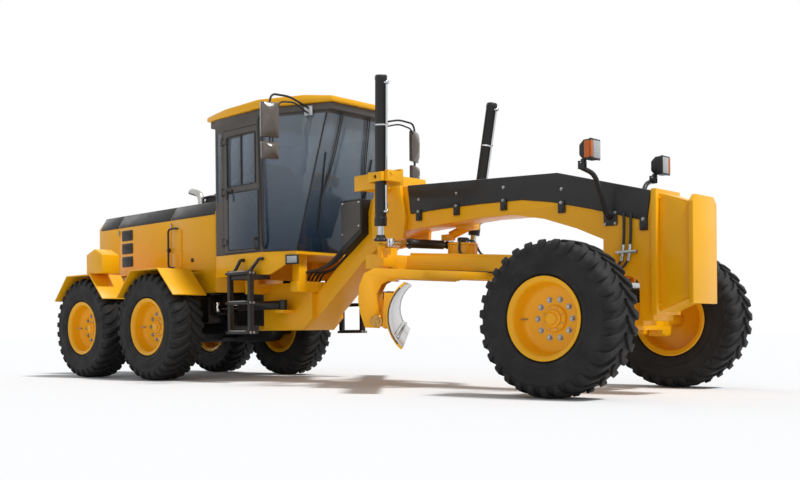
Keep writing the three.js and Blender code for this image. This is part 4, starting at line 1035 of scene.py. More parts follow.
class GRADER_OT_cab(Making, bpy.types.Operator):
    """Cab glass and seals, doors, roof trim, wipers, lamps and grab rails"""

    bl_idname = "grader.cab"
    bl_label = "Cab"

    def make(self):
        body = "front_frame"
        thick = sizes().glass
        # bonded glass on the outside of the posts, edge to edge at the corners
        cheek = [on_cheek(0.03, 0.001, GLASS_LOW),
                 on_cheek(cheek_length(GLASS_LOW) - 0.004, 0.001, GLASS_LOW),
                 on_cheek(cheek_length(GLASS_HIGH) - 0.004, 0.001, GLASS_HIGH),
                 on_cheek(0.03, 0.001, GLASS_HIGH)]
        pair(drawn("cheek_glass", cheek, FACING_CHEEK * thick, 0.001), body, GLASS)
        forward = Vector((1, 0, -SCREEN_LEAN)).normalized()
        screen = []
        for z, s in ((GLASS_LOW, -1), (GLASS_LOW, 1), (GLASS_HIGH, 1), (GLASS_HIGH, -1)):
            x = screen_x(z) + 0.001
            screen.append(at(x, s * (cheek_y(x) - 0.002), z))
        finished(drawn("windscreen_glass", screen, forward * thick, 0.001), body, *GLASS)
        proud = [corner + FACING_CHEEK * thick for corner in cheek]
        seals = [pipe(name, [proud[i], proud[j]], radius, 0.01, 1) for name, i, j, radius in (
            ("corner_seal", 1, 2, 0.007), ("post_seal", 0, 3, 0.005), ("foot_seal", 0, 1, 0.005))]
        pair(joined("glass_seal", seals), body, HOSE)
        rear = drawn("rear_glass", [at(1.545, y, z) for y, z in upright(-0.61, 0.61, 2.14, 2.975)],
                     (-thick, 0, 0), 0.001)
        finished(rear, body, *GLASS)
        quarter = drawn("quarter_glass", [at(x, -0.775, z) for x, z in upright(1.555, 1.65, 2.14, 2.975)],
                        (0, -thick, 0), 0.001)
        pair(quarter, body, GLASS)
        self.doors(thick)
        self.roof(body)
        self.front(body)

    def doors(self, thick):
        """One fixed pane below and two sliding panes above, with seals, handles and the pull."""
        panes = [drawn(name, [at(x, -y, z) for x, z in upright(*edges)], (0, -thick, 0), 0.001)
                 for name, y, edges in (("door_glass_low", 0.7895, (1.775, 2.315, 1.555, 2.225)),
                                        ("door_glass_up", 0.770, (1.765, 2.025, 2.31, 2.89)),
                                        ("door_glass_up", 0.780, (2.005, 2.265, 2.31, 2.89)))]
        pair(joined("door_glass", panes), "cab_door_{side}", GLASS)
        seals = [loop("seal", [at(x, -0.794, z) for x, z in (
            (x1, z1), (x1, z0), (x0, z0), (x0, z1))], 0.007) for x0, x1, z0, z1 in (
                (1.772, 2.318, 1.552, 2.228), (1.758, 2.272, 2.302, 2.898))]
        bar = block("door_bar", at(2.008, -0.798, 2.30), at(2.03, -0.77, 2.90), 0.003)
        handle = side_plate("door_lock", rounded_rect(1.79, 2.225, 1.86, 2.27, 0.01), -0.81, -0.79, 0.003)
        lever = pipe("door_lever", [at(1.80, -0.805, 2.245), at(1.80, -0.83, 2.23), at(1.80, -0.83, 2.15)],
                     0.011, 0.02, 2)
        pull = pipe("door_pull", [at(2.285, -0.80, 1.66), at(2.285, -0.84, 1.66), at(2.315, -0.84, 1.54),
                                  at(2.315, -0.80, 1.54)], 0.014, 0.03)
        pair(joined("door_trim", [*seals, bar, handle, lever, pull]), "cab_door_{side}", HOSE)

    def roof(self, body):
        """Lining under the roof, lifting eyes, and bolts on the header."""
        lining = [(1.40, -0.755), (CAB_WIDE + 0.02, -0.802), (3.175, -0.43), (3.175, 0.43),
                  (CAB_WIDE + 0.02, 0.802), (1.40, 0.755)]
        finished(plan_plate("roof_lining", lining, 3.06, 3.1395, 0.01), body, *CAB_PAINT)
        eyes = [pipe("eye", [at(x - 0.03, -0.72, 3.19), at(x - 0.03, -0.72, 3.226),
                             at(x + 0.03, -0.72, 3.226), at(x + 0.03, -0.72, 3.19)], 0.007, 0.03, 2)
                for x in (1.55, 2.15)]
        pair(joined("roof_eye", eyes), body, ZINC)
        pair(bolts("header_bolt", [on_cheek(a, 0.001, 3.085) for a in (0.07, 0.14, 0.80, 0.86)],
                   FACING_CHEEK, 0.011), body, ZINC)

    def front(self, body):
        """Grab rails, lamps in the skirt, and the wipers."""
        rail = pipe("cab_rail", [at(2.37, -0.80, 3.035), at(2.385, -0.845, 3.02), at(2.43, -0.835, 1.60),
                                 at(2.42, -0.79, 1.53)], 0.014, 0.05)
        steps = [pipe("step_rail", [at(x0, -0.795, 1.42), at(x0, -0.85, 1.42), at(x1, -0.87, 1.31),
                                    at(x1, -0.94, 1.25)], 0.02, 0.05)
                 for x0, x1 in ((2.06, 2.00), (2.40, 2.29))]
        pair(joined("cab_rail", [rail, *steps]), body, BLACK)
        for name, out, edges, along, edge, look in (
                ("skirt_lamp", 0.0, (0.30, 0.46, 1.345, 1.455), (0.012, -0.024, 0), 0.006, BLACK),
                ("skirt_lens", 0.024, (0.32, 0.44, 1.362, 1.438), (0.004, -0.008, 0), 0.004, LENS)):
            pair(drawn(name, [on_cheek(a, out, z) for a, z in upright(*edges)], along, edge), body, look)

        def before(y, z, gap):
            return at(screen_x(z) + gap, y, z)

        arms = []
        for s in (-1, 1):
            arms += [pipe("wiper_arm", [before(s * y, 3.06, 0.03), before(s * (y + 0.05), 2.5, 0.03),
                                        before(s * 0.36, 2.05, 0.02)], 0.007, 0.2, 1) for y in (0.20, 0.23)]
            arms.append(pipe("wiper_blade", [before(s * 0.38, 2.6, 0.018), before(s * 0.34, 1.75, 0.018)],
                             0.009, 0.02, 1))
        finished(joined("wiper", arms), body, *BLACK)


class GRADER_OT_station(Making, bpy.types.Operator):
    """Seat, control pods with levers, steering column and wheel"""

    bl_idname = "grader.station"
    bl_label = "Operator's station"

    def make(self):
        body = "front_frame"
        cushion = self.pad("seat_cushion", at(1.89, -0.25, 1.87), at(2.37, 0.25, 2.01), 0.035)
        back = self.pad("seat_back", at(1.80, -0.24, 2.03), at(1.93, 0.24, 2.63), 0.035)
        hinge = Matrix.Translation(at(1.9, 0, 2.0))
        moved(back, hinge @ Matrix.Rotation(radians(-9), 4, "Y") @ hinge.inverted())
        arm = self.pad("seat_arm", at(1.93, -0.33, 2.19), at(2.26, -0.27, 2.25), 0.02)
        twin = mirrored(arm, "seat_arm_left")
        for pad, fill in ((cushion, 0.8), (back, 0.8), (arm, 0.9), (twin, 0.9)):
            finished(pad, body, "embossed_vinyl", "seat_vinyl")
        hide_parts("operator_station")
        base = turned("seat_base", [
            (0, 0), (0.2, 0), (0.2, 0.02), (0.12, 0.04), (0.13, 0.08), (0.11, 0.12), (0.13, 0.16),
            (0.11, 0.20), (0.13, 0.24), (0.12, 0.3), (0.19, 0.34), (0.19, 0.37), (0, 0.37)],
            at(2.12, 0, 1.5), Z, 32)
        column = side_plate("steering_column", [
            (2.52, 1.505), (2.66, 1.505), (2.58, 2.22), (2.50, 2.28), (2.46, 2.24)], -0.07, 0.07, 0.02)
        pods, feet = [[block(name, at(x0, y - wide, z0), at(x1, y + wide, z1), edge) for y in (-0.30, 0.30)]
                      for name, wide, x0, x1, z0, z1, edge in (
                          ("control_pod", 0.07, 2.30, 2.56, 1.95, 2.24, 0.03),
                          ("pod_foot", 0.04, 2.38, 2.48, 1.505, 1.97, 0.01))]
        levers, knobs = [], []
        for s in (-1, 1):
            for i in range(4):
                foot = at(2.36 + 0.05 * i, s * (0.26 + 0.025 * (i % 2)), 2.23)
                head = foot + Vector((0.02, 0, 0.15 + 0.01 * (i % 3)))
                levers.append(rod("lever", foot, head, 0.006, steps=10))
                knobs.append(turned("lever_knob", [
                    (0, 0), (0.012, 0.0), (0.02, 0.02), (0.018, 0.04), (0, 0.05)], head, Z, 16))

        def round_wheel(radius, a):
            return at(2.44, 0, 2.33) + radius * Vector((cos(a) * 0.94, sin(a), cos(a) * 0.34))

        wheel = pipe("steering_wheel", [round_wheel(0.19, pi / 12 * i) for i in range(25)], 0.014, 0.02, 2)
        spokes = [rod("wheel_spoke", at(2.44, 0, 2.325), round_wheel(0.18, a), 0.010, steps=10)
                  for a in (0.0, 2.1, 4.2)]
        mat = plan_plate("floor_mat", [
            (1.60, -0.66), (2.36, -0.70), (2.72, -0.52), (2.72, 0.52), (2.36, 0.70), (1.60, 0.66)],
            1.5005, 1.506, 0.001)
        station = joined("station", [base, column, *pods, *feet, *levers, *knobs, wheel, *spokes, mat])
        finished(station, body, *PLASTIC)

    def pad(self, name, low, high, crown):
        """A cushion: a crowned block with its sides pulled in between the corners."""
        piece = block(name, low, high, 0)
        edit(piece, cut(9))
        centre, half = (Vector(low) + Vector(high)) / 2, (Vector(high) - Vector(low)) / 2
        thin = min(range(3), key=lambda i: half[i])
        for v in piece.data.vertices:
            place = [(v.co[i] - centre[i]) / half[i] for i in range(3)]
            flat = [1 - place[i] ** 2 for i in range(3) if i != thin]
            channel = 0.2 * abs(sin(place[(thin + 1) % 3] * 1.5 * pi)) ** 0.4 + 0.8
            v.co[thin] = centre[thin] + place[thin] * (
                half[thin] * 0.62 + crown * max(0.0, flat[0] * flat[1]) ** 0.35 * channel)
        return modified(piece, "SUBSURF", levels=1, render_levels=1)


# ---- mirrors and ladders -------------------------------------------------------------------
RUNGS = (0.56, 0.90, 1.24)   # heights of the ladder's rungs
MIRROR_HEADS = ((2.67, 3.045, 0.105), (2.44, 2.62, 0.10))   # low, high, half width
MIRROR_PLACE, MIRROR_TURN, MIRROR_BULGE = at(2.99, -1.19, 0), -20, 0.055


class GRADER_OT_mirrors(Making, bpy.types.Operator):
    """Twin-tube mirror arms with two heads a side, and ladder treads"""

    bl_idname = "grader.mirrors"
    bl_label = "Mirrors and ladders"

    def make(self):
        body = "front_frame"
        arms = [
            pipe("mirror_arm", [
                on_cheek(0.60, 0.02, 3.09), on_cheek(0.60, 0.13, 3.09), at(2.99, -0.90, 3.15),
                at(2.99, -1.17, 3.14), at(2.99, -1.20, 3.00), at(2.985, -1.19, 2.45)], 0.012, 0.07),
            pipe("mirror_stay", [
                on_cheek(0.60, 0.02, 3.03), on_cheek(0.60, 0.12, 3.03), at(3.02, -0.86, 3.09),
                at(3.03, -1.08, 3.06), at(3.03, -1.12, 2.96), at(3.0, -1.17, 2.60)], 0.010, 0.07)]
        clamps = [block("mirror_clamp", at(2.965, -1.225, z), at(3.02, -1.155, z + 0.05), 0.008)
                  for z in (2.82, 2.52)]
        pair(joined("mirror_arms", arms), body, BLACK, ["mirror_{side}"])
        pair(joined("mirror_clamps", clamps), body, ZINC)
        pair(drawn("mirror_bracket", [on_cheek(a, 0.001, z) for a, z in (
            (0.555, 3.0), (0.655, 3.0), (0.655, 3.11), (0.555, 3.11))], (0.02, -0.045, 0), 0.006), body, ZINC)
        turn = Matrix.Translation(MIRROR_PLACE) @ Matrix.Rotation(radians(MIRROR_TURN), 4, "Z")
        heads, glasses = [], []
        for z0, z1, wide in MIRROR_HEADS:
            head = block("mirror_head", (-0.034, -wide, z0), (0.012, wide, z1), 0)
            edit(head, cut(5))
            for v in head.data.vertices:
                if v.co.x > 0.011:  # the back bulges
                    u, w = v.co.y / wide, (v.co.z - z0) / (z1 - z0) * 2 - 1
                    v.co.x += MIRROR_BULGE * max(0.0, min(1 - abs(u), 1 - abs(w))) ** 0.7
            heads.append(eased(head, 0.012, 2))
            glasses.append(block("mirror_pane", (-0.038, -wide + 0.014, z0 + 0.014),
                                 (-0.033, wide - 0.014, z1 - 0.014), 0.001))
        head, pane = joined("mirror_heads", heads), joined("mirror_panes", glasses)
        pair(moved(head, turn), body, ("moulded_abs", "cab_paint"))
        pair(moved(pane, turn), body, ("mirror_glass", "chrome"))
        for side, s in SIDES:
            self.treads(body, side, s)

    def treads(self, body, side, s):
        """Gripping treads on a ladder's rungs, and the bolts on its front stile."""
        low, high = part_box(f"ladder_{side}")

        def plate(name, x0, x1, inner, outer, z0, z1, edge):
            return block(name, (x0, min(s * inner, s * outer), z0), (x1, max(s * inner, s * outer), z1), edge)

        treads = [plate("tread", low.x + 0.05, high.x - 0.05, 0.885, 0.997, z + 0.03, z + 0.036, 0.001)
                  for z in RUNGS]
        teeth = [plate("grip", x, x + 0.01, 0.89, 0.99, z + 0.034, z + 0.042, 0)
                 for z in RUNGS for x in (low.x + 0.06 + 0.026 * i for i in range(11))]
        finished(joined(f"ladder_tread_{side}", treads + teeth), body, *ZINC)
        places = [(high.x - 0.0005, s * y, z + 0.015) for y in (0.915, 0.967) for z in RUNGS]
        finished(bolts(f"ladder_bolt_{side}", places, X, 0.010), body, *ZINC)


# ---- beam, neck and nose -------------------------------------------------------------------
COVER_HALF = 0.196
COVER_TOP = ((4.06, 2.126), (5.90, 2.037), (6.835, 1.772))
COVER_FOOT = ((6.80, 1.505), (6.25, 1.663), (5.83, 1.769), (5.50, 1.822), (5.02, 1.832), (4.51, 1.831),
              (4.10, 1.817))
CLAMP_X = (4.22, 4.72, 5.30, 5.95, 6.77)


def cover_foot_z(x):
    """Height of the black cover's lower edge."""
    row = sorted(COVER_FOOT)
    for (x0, z0), (x1, z1) in zip(row, row[1:]):
        if x <= x1:
            return z0 + (z1 - z0) * (x - x0) / (x1 - x0)
    return row[-1][1]


class GRADER_OT_beam(Making, bpy.types.Operator):
    """Black beam cover with its clamps, hoses, valve cover bolts and work lamps"""

    bl_idname = "grader.beam"
    bl_label = "Beam"

    def make(self):
        body = "front_frame"
        cover = side_plate("beam_cover", [*COVER_TOP, *COVER_FOOT], -COVER_HALF, COVER_HALF, 0.012)
        finished(cover, body, *BLACK)
        clamps = []
        for x in CLAMP_X:
            z = cover_foot_z(x)
            tab = rounded_rect(x - 0.035, z - 0.085, x + 0.035, z + 0.03, 0.008)
            clamps += [side_plate("clamp", tab, -0.206, -0.18, 0.004), block(
                "clamp_pad", at(x - 0.022, -0.218, z - 0.075), at(x + 0.022, -0.19, z - 0.035), 0.006)]
        pair(joined("cover_clamps", clamps), body, BLACK)
        spots = [at(x, -0.207, cover_foot_z(x) + 0.012) for x in CLAMP_X]
        spots += [at(x, -COVER_HALF, cover_foot_z(x) + 0.14) for x in CLAMP_X[:4]]
        pair(bolts("cover_bolt", spots, -Y, 0.010), body, ZINC)
        pair(bolts("valve_bolt", [at(x, -0.3003, z) for x, z in (
            (3.20, 2.00), (3.20, 1.66), (3.45, 2.00), (3.45, 1.74))], -Y, 0.011), body, ZINC)
        lid = side_plate("valve_lid", [(3.185, 2.02), (3.465, 2.02), (3.465, 1.71), (3.185, 1.52)],
                         -0.304, -0.298, 0.003)
        pair(lid, body, CAB_PAINT)
        self.hoses(body)
        self.lamps(body)
        self.nose(body)

    def hoses(self, body):
        """Hoses into the neck, and down the front legs by way of hard pipes."""
        r = sizes().hose
        lines = []
        for i in range(6):
            y = -0.26 + 0.045 * i
            lines.append(pipe("neck_hose", [
                at(2.55, y * 1.4, 1.17), at(2.62, y * 1.5, 1.26), at(2.95, y * 1.25, 1.30 + 0.02 * (i % 3)),
                at(3.16, y, 1.52), at(3.24, y, 1.62)], r, 0.16, 2))
        finished(joined("neck_hoses", lines), body, *HOSE)
        leg, fittings = [], []
        for x in (6.585, 6.650):
            upper = [at(x, -0.20, 1.60), at(x + 0.01, -0.215, 1.42), at(x, -0.21, 1.30)]
            lower = [at(x - 0.02, -0.21, 1.18), at(x - 0.08, -0.215, 1.10), at(x - 0.2, -0.22, 1.09),
                     at(x - 0.30, -0.20, 1.02), at(x - 0.33, -0.19, 0.92)]
            leg += [pipe("leg_hose", upper, r, 0.06, 2), pipe("leg_hose_low", lower, r, 0.08, 2)]
            nut, tail = at(x, -0.21, 1.315), at(x - 0.005, -0.21, 1.255)
            fittings += [rod("fitting", nut, at(x - 0.005, -0.21, 1.26), r * 1.35, 0.002, 6),
                         rod("fitting_low", tail, at(x - 0.02, -0.21, 1.17), r * 1.15, 0.002, 12)]
        pair(joined("leg_hoses", leg), body, HOSE)
        clip = block("hose_clip", at(6.515, -0.225, 1.235), at(6.71, -0.178, 1.262), 0.004)
        pair(joined("leg_fittings", [*fittings, clip]), body, ZINC)
        eye = turned("leg_eye", [
            (0.022, 0), (0.05, 0), (0.055, 0.01), (0.055, 0.035), (0.045, 0.045), (0.022, 0.045)],
            at(6.42, -0.178, 1.02), -Y, 32)
        pair(eye, body, YELLOW)

    def lamps(self, body):
        """A lamp on a cranked post, bolted to the beam's side, with a clevis below its shell."""
        post = pipe("lamp_post", [at(6.45, -0.19, 1.56), at(6.45, -0.27, 1.59), at(6.45, -0.45, 1.93),
                                  at(6.415, -0.625, 1.975)], 0.022, 0.08, 3)
        plate = side_plate("lamp_plate", rounded_rect(6.385, 1.495, 6.515, 1.625, 0.015), -0.20, -0.18, 0.004)
        cheeks = [block("lamp_cheek", at(6.405, y, 1.955), at(6.465, y + 0.012, 2.028), 0.004)
                  for y in (-0.656, -0.616)]
        stem = block("lamp_stem", at(6.425, -0.641, 1.995), at(6.470, -0.619, 2.045), 0.004)
        shell = side_plate("lamp_shell", [
            (6.445, 2.065), (6.480, 2.026), (6.556, 2.024), (6.560, 2.196), (6.490, 2.196), (6.445, 2.155)],
            -0.704, -0.556, 0.012)
        rim = block("lamp_rim", at(6.548, -0.710, 2.020), at(6.566, -0.550, 2.200), 0.007)
        pair(joined("headlamp_shell", [post, plate, *cheeks, stem, shell, rim]), body, BLACK,
             ["headlamp_{side}"])
        for name, low, high, edge, look in (
                ("headlamp_lens", (6.556, -0.672, 2.034), (6.570, -0.562, 2.186), 0.006, LENS),
                ("turn_lens", (6.496, -0.710, 2.036), (6.571, -0.676, 2.184), 0.010,
                 ("amber_lens", "chrome"))):
            pair(block(name, at(*low), at(*high), edge), body, look)
        pin = rod("lamp_pin", at(6.437, -0.664, 2.008), at(6.437, -0.596, 2.008), 0.008)
        places = [at(x, -0.2005, z) for x in (6.40, 6.50) for z in (1.512, 1.608)]
        plate_bolts = bolts("lamp_bolt", places, -Y, 0.008)
        pair(joined("lamp_fixings", [pin, plate_bolts]), body, ZINC)

    def nose(self, body):
        """The nose block's side panel."""
        panel = side_plate("nose_panel", [(6.905, 0.735), (7.185, 0.855), (7.185, 1.615), (6.905, 1.735)],
                           -0.166, -0.158, 0.002)
        pair(panel, body, YELLOW)
        pair(bolts("nose_bolt", [at(6.905, -0.167, z) for z in (0.78, 1.70)], -Y, 0.010), body, YELLOW)


# ---- cylinders -----------------------------------------------------------------------------
JOINTS = {joint["name"]: joint for joint in frame["joints"]}
BARREL_FOOT, BARREL_TOP = 1.642, 3.118   # heights of a lift barrel's ends


class GRADER_OT_cylinders(Making, bpy.types.Operator):
    """Blade lift cylinders with ports and pipes, and glands on the other cylinders"""

    bl_idname = "grader.cylinders"
    bl_label = "Cylinders"

    def make(self):
        for side, _ in SIDES:
            self.lift(side)
            gland_on(f"frame_gland_{side}", f"steer_barrel_{side}", f"frame_barrel_{side}_swing",
                     f"frame_rod_{side}_travel", 0.735, 0.055)
        gland_on("shift_gland", "shift_barrel", "shift_barrel_swing", "shift_rod_travel", 0.475, 0.048)
        for node, look in (("shift_barrel", BLACK), ("shift_rod", CHROME), ("steer_barrel_right", BLACK),
                           ("steer_barrel_left", BLACK), ("steer_rod_right", CHROME),
                           ("steer_rod_left", CHROME), ("tie_rod", BLACK), ("drawbar_ball", CHROME)):
            finished(refined(node, 0.002), body_of(node), *look)

    def lift(self, side):
        """A lift cylinder's barrel with its pipes and fittings, and its rod with the bolted cup."""
        up = -Vector(JOINTS[f"lift_rod_{side}_travel"]["axis"])
        pivot = Vector(JOINTS[f"lift_barrel_{side}_pitch"]["pos_m"])

        def along(z):
            return pivot + up * ((z - pivot.z) / up.z)

        foot = along(BARREL_FOOT)
        length = (along(BARREL_TOP) - foot).length
        barrel_body, rod_body = f"lift_barrel_{side}", f"lift_rod_{side}"
        barrel = turned(f"lift_tube_{side}", [
            (0.036, 0.0), (0.061, 0.0), (0.064, 0.006), (0.064, 0.085), (0.0585, 0.092),
            (0.0585, length - 0.05), (0.062, length - 0.045), (0.062, length - 0.012),
            (0.054, length), (0, length), (0, length - 0.06), (0.036, length - 0.06)],
            foot, up, 48)
        ahead = (X - up * up.x).normalized()
        tube = pipe("lift_pipe", [along(2.20) + ahead * 0.075, along(3.03) + ahead * 0.075,
                                  along(3.06) + ahead * 0.045], 0.011, 0.03, 2)
        port = pipe("lift_pipe_low", [along(2.05) + ahead * 0.07, along(1.80) + ahead * 0.072],
                    0.011, 0.02, 2)
        finished(barrel, barrel_body, *BLACK, [barrel_body])
        finished(joined(f"lift_pipes_{side}", [tube, port]), barrel_body, *CHROME)
        clamp = turned("lift_clamp", [(0.058, 0), (0.0645, 0.001), (0.0645, 0.016), (0.058, 0.017)],
                       along(2.63), up, 48)
        clip = rod("lift_clip", along(2.63) + ahead * 0.06, along(2.65) + ahead * 0.092, 0.012, 0.002, 12)
        knuckle = [rod("lift_port", along(z) + ahead * 0.05, along(z) + ahead * 0.098, 0.021, 0.004, 16)
                   for z in (1.79, 3.045)]
        nut = rod("lift_nut", along(1.83) + ahead * 0.074, along(1.87) + ahead * 0.074, 0.017, 0.002, 6)
        fittings = joined(f"lift_fittings_{side}", [clamp, clip, *knuckle, nut])
        finished(fittings, barrel_body, *CHROME)
        low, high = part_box(rod_body)
        end = along(low.z + 0.008)
        reach = (along(high.z - 0.008) - end).length
        shaft = turned(f"lift_shaft_{side}", [
            (0, 0.03), (0.035, 0.03), (0.035, reach), (0, reach)], end, up, 48)
        finished(shaft, rod_body, *CHROME, [rod_body])
        cup = turned(f"lift_cup_{side}", [
            (0, 0.002), (0.030, 0.0), (0.052, 0.0), (0.070, 0.006), (0.070, 0.022), (0.056, 0.030),
            (0.048, 0.050), (0.040, 0.068), (0, 0.068)],
            end, up, 48)
        finished(cup, rod_body, *BLACK)
        turn = facing(end + up * 0.0215, up)
        cup_bolts = bolts(f"lift_cup_bolt_{side}", [turn @ Vector((x, y, 0)) for x, y in ring(0.061, 6)],
                          up, 0.007, washer=False)
        finished(cup_bolts, rod_body, *ZINC)


def gland_on(name, body, swing, travel, reach, radius):
    """The wider ring at a barrel's open end."""
    start, direction = Vector(JOINTS[swing]["pos_m"]), Vector(JOINTS[travel]["axis"])
    gland = turned(name, [
        (radius - 0.012, 0), (radius + 0.005, 0), (radius + 0.008, 0.004), (radius + 0.008, 0.022),
        (radius + 0.004, 0.027), (radius - 0.012, 0.027)], start + direction * reach, direction, 32)
    finished(gland, body, *BLACK)


# ---- drawbar, circle and blade -------------------------------------------------------------
GEAR = Matrix.Translation(at(6.12, 0, 1.15)) @ Matrix.Rotation(radians(4), 4, "Y")
CIRCLE = GEAR @ Matrix.Translation((-1.62, 0, 0)) @ Matrix.Rotation(radians(40), 4, "Z")
BLADE_X, BLADE_Z, BLADE_R = -0.21709, -0.510, 0.36791   # centre and radius of the working face
BLADE_ENDS = (-1.593, 2.477)
BLADE_Y = (-1.591, 2.468)   # the edges stop short of the ends
FACE_END = 231.4   # degrees: where the face ends below
EDGE_BOLTS, END_BIT = 22, 0.16
TEETH, DRIVE_RIBS, TILT_PIN = 64, 10, (-0.735, -0.60)
CARRIER_SIDE = 0.554   # outer face of the carrier's plates; the blade's rail ends pass 14 mm from it


def face_point(angle, off=0.0):
    """A point of the blade's working face in the circle's side view."""
    a = radians(angle)
    return BLADE_X + (BLADE_R - off) * cos(a), BLADE_Z + (BLADE_R - off) * sin(a)


def repainted(piece, finish, test):
    """Gives the faces that pass a test another finish."""
    piece.data.materials.append(surface(finish))
    for polygon in piece.data.polygons:
        if test(polygon):
            polygon.material_index = len(piece.data.materials) - 1


class GRADER_OT_blade(Making, bpy.types.Operator):
    """Blade with its cutting edges, circle teeth, circle drive and drawbar trim"""

    bl_idname = "grader.blade"
    bl_label = "Blade gear"

    def make(self):
        board = finished(refined("moldboard", 0.003), "moldboard", *YELLOW)
        ahead = (CIRCLE.to_3x3() @ X).normalized()
        repainted(board, STEEL[0], lambda face: face.normal.dot(ahead) > 0.4 and face.area > 0.02)
        self.edges()
        self.circle()
        self.drawbar()

    def edges(self):
        """Cutting edges with their bolts, end bits, and the dark border at the ends."""
        y0, y1 = BLADE_Y
        arcs = [FACE_END - 22 * i / 6 for i in range(7)]
        profile = [face_point(a, 0.016) for a in arcs] + [face_point(a, -0.002) for a in reversed(arcs)]
        middle_y = (y0 + y1) / 2
        strips = [drawn("cutting_edge", [(x, a, z) for x, z in profile], (0, b - a, 0), 0.002)
                  for a, b in ((y0, middle_y - 0.002), (middle_y + 0.002, y1))]
        arcs = [FACE_END - 102 * i / 12 for i in range(13)]
        profile = [face_point(a, 0.008) for a in arcs] + [face_point(a, -0.002) for a in reversed(arcs)]
        for a in (y0, y1 - END_BIT):
            strips.append(drawn("end_bit", [(x, a, z) for x, z in profile], (0, END_BIT, 0), 0.002))
        finished(moved(joined("cutting_edges", strips), CIRCLE), "moldboard", *STEEL)
        ends, thick = BLADE_ENDS, 0.002
        inside = arcs[1:-1]
        band = [face_point(a, -0.0005) for a in inside] + [face_point(a, -0.011) for a in reversed(inside)]
        trim = [(x, ends[0] - thick, z) for x, z in band]
        border = drawn("blade_border", trim, (0, thick, 0), 0)
        far = copied(border, "blade_border_far", Matrix.Translation((0, ends[1] - ends[0] + thick, 0)))
        finished(moved(joined("blade_border", [border, far]), CIRCLE), "moldboard", *BLACK)
        x, z = face_point(216, 0.016)
        inward = Vector((BLADE_X - x, 0, BLADE_Z - z)).normalized()
        pitch = (y1 - y0 - 0.18) / (EDGE_BOLTS - 1)
        studs = bolts("edge_bolts", [(x, y0 + 0.09 + pitch * i, z) for i in range(EDGE_BOLTS)],
                      inward, 0.012, washer=False)
        finished(moved(studs, CIRCLE), "moldboard", *ZINC)

    def circle(self):
        """Teeth and wear ring of the circle, caps on the tilt pin, and the tilt cylinder."""
        foot, top, inner = -0.1495, -0.0765, 0.572
        tooth = drawn("circle_tooth", [
            (inner, -0.021, foot), (inner - 0.034, -0.010, foot), (inner - 0.034, 0.010, foot),
            (inner, 0.021, foot)], (0, 0, top - foot), 0)
        turns = [CIRCLE @ Matrix.Rotation(2 * pi / TEETH * i, 4, "Z") for i in range(TEETH)]
        finished(repeated(tooth, turns, "circle_teeth"), "circle", *YELLOW)
        wear = turned("circle_wear_ring", [
            (0.60, -0.0762), (0.69, -0.0762), (0.69, -0.0752), (0.60, -0.0752)], (0, 0, 0), Z, 64)
        finished(moved(wear, CIRCLE), "circle", *IRON)
        pin_x, pin_z = TILT_PIN
        caps = [rod(name, (pin_x, s * inner, pin_z), (pin_x, s * outer, pin_z), radius, chamfer)
                for s in (-1, 1) for name, inner, outer, radius, chamfer in (
                    ("tilt_pin_cap", 0.622, 0.640, 0.062, 0.006),
                    ("tilt_pin_end", 0.638, 0.652, 0.03, 0.004))]
        finished(moved(joined("tilt_pin_caps", caps), CIRCLE), "circle", "gold_zinc_plate", "cast_iron")
        self.guides()
        barrel = rod("tilt_barrel", (-0.80, 0.10, -0.20), (-0.80, 0.42, -0.20), 0.045)
        cap = rod("tilt_gland", (-0.80, 0.42, -0.20), (-0.80, 0.45, -0.20), 0.05)
        finished(moved(joined("tilt_cylinder", [barrel, cap]), CIRCLE), "circle", *BLACK)

    def guides(self):
        """Caps and shoes where the blade's two rails run through the carrier's plates."""
        rail_x, upper, lower, out = -0.640, -0.345, -0.625, CARRIER_SIDE
        discs, shoes, ends = [], [], []
        for s in (-1, 1):
            discs.append(turned("rail_disc", [
                (0.019, 0), (0.050, 0), (0.052, 0.002), (0.052, 0.004), (0.048, 0.005), (0.019, 0.005)],
                (rail_x, s * out, lower), s * Y, 32))
            face = out + 0.007
            shoes.append(block("rail_shoe", (rail_x - 0.045, min(s * out, s * face), upper - 0.038),
                               (rail_x + 0.030, max(s * out, s * face), upper + 0.042), 0.003))
            ends += [(rail_x + dx, s * face, upper + dz) for dx in (-0.03, 0.018) for dz in (-0.024, 0.028)]
        disc, shoe = joined("rail_caps", discs), joined("rail_shoes", shoes)
        studs = [bolts("shoe_bolt", [p for p in ends if p[1] * s > 0], s * Y, 0.006, washer=False)
                 for s in (-1, 1)]
        stud = joined("shoe_bolts", studs)
        for piece, look in ((disc, YELLOW), (shoe, BLACK), (stud, ZINC)):
            finished(moved(piece, CIRCLE), "blade_carrier", *look)

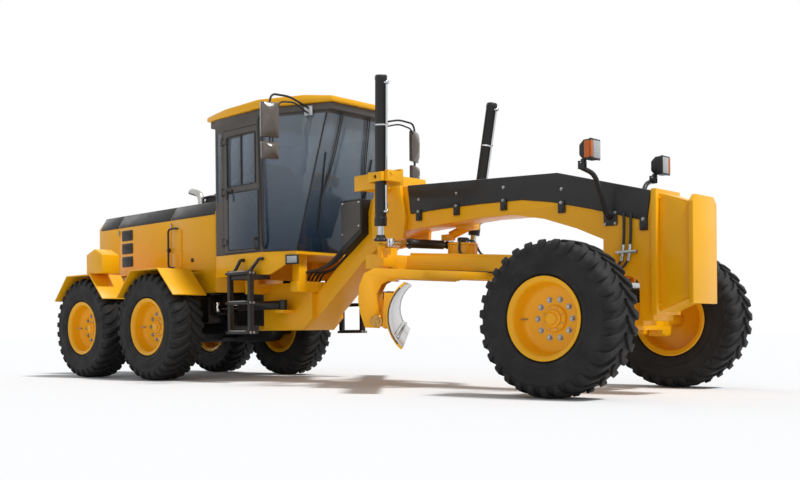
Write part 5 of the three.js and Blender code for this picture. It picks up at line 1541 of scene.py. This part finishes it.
    def drawbar(self):
        """Circle drive with its hoses, and the drawbar's ribs and wear strips."""
        drum_x, top = -1.49, 0.215   # the circle drive's drum
        flange = turned("drive_flange", [
            (0, 0), (0.15, 0), (0.155, 0.006), (0.155, 0.018), (0.145, 0.024), (0, 0.024)],
            (drum_x, 0, top - 0.01), Z, 48)
        rib = block("drive_rib", (0.138, -0.012, 0.08), (0.152, 0.012, top - 0.008), 0.003)
        drum = Matrix.Translation((drum_x, 0, 0))
        turns = [drum @ Matrix.Rotation(2 * pi / DRIVE_RIBS * i, 4, "Z") for i in range(DRIVE_RIBS)]
        drive = joined("circle_drive", [flange, repeated(rib, turns, "drive_rib")])
        motor = turned("drive_motor", [(0, 0), (0.06, 0), (0.06, 0.05), (0.045, 0.058), (0, 0.058)],
                       (drum_x, 0, top + 0.012), Z, 32)
        screws = bolts("drive_bolt", [(drum_x + x, y, top + 0.013) for x, y in ring(0.128, DRIVE_RIBS)],
                       Z, 0.010)
        strips = joined("wear_strips", [drawn("wear_strip", [(x, y, -0.0785) for x, y in (
            (-0.45, s * 0.112), (-1.15, s * 0.304), (-1.87, s * 0.434), (-1.87, s * 0.39), (-1.15, s * 0.26),
            (-0.45, s * 0.07))], (0, 0, 0.012), 0.001) for s in (-1, 1)])
        ribs = joined("drawbar_ribs", [drawn("drawbar_rib", [(x, s * y, 0.073) for x, y in (
            (-0.40, 0.085), (-1.12, 0.28), (-1.85, 0.41), (-1.85, 0.395), (-1.13, 0.262), (-0.40, 0.07))],
            (0, 0, 0.03), 0.003) for s in (-1, 1)])
        hoses = joined("drive_hoses", [pipe("drive_hose", [
            (drum_x + 0.02, s * 0.03, top + 0.04), (drum_x + 0.05, s * 0.12, top + 0.045),
            (drum_x + 0.10, s * 0.19, 0.10), (drum_x + 0.40, s * 0.17, 0.088)], sizes().hose, 0.08, 2)
            for s in (-1, 1)])
        for piece, look in ((drive, YELLOW), (motor, BLACK), (screws, ZINC), (strips, HOSE), (ribs, YELLOW),
                            (hoses, HOSE)):
            finished(moved(piece, GEAR), "drawbar", *look)


class GRADER_PT_panel(bpy.types.Panel):
    """Lists the piece operators"""

    bl_idname = "GRADER_PT_panel"
    bl_label = "Grader"
    bl_space_type = "VIEW_3D"
    bl_region_type = "UI"
    bl_category = "Grader"

    def draw(self, context):
        for operator in OPERATORS:
            self.layout.operator(operator.bl_idname)


OPERATORS = (
    GRADER_OT_stage, GRADER_OT_skins, GRADER_OT_wheels, GRADER_OT_hood, GRADER_OT_tandems, GRADER_OT_cab,
    GRADER_OT_station, GRADER_OT_mirrors, GRADER_OT_beam, GRADER_OT_cylinders, GRADER_OT_blade)
CLASSES = (GraderSizes, GraderColours, *OPERATORS, GRADER_PT_panel)


def register():
    for item in CLASSES:
        bpy.utils.register_class(item)
    bpy.types.Scene.grader_sizes = PointerProperty(type=GraderSizes)
    bpy.types.Scene.grader_colours = PointerProperty(type=GraderColours)


def unregister():
    del bpy.types.Scene.grader_colours
    del bpy.types.Scene.grader_sizes
    for item in reversed(CLASSES):
        bpy.utils.unregister_class(item)


def main():
    register()
    for operator in OPERATORS:
        group, name = operator.bl_idname.split(".")
        getattr(getattr(bpy.ops, group), name)()


if __name__ == "__main__":
    main()
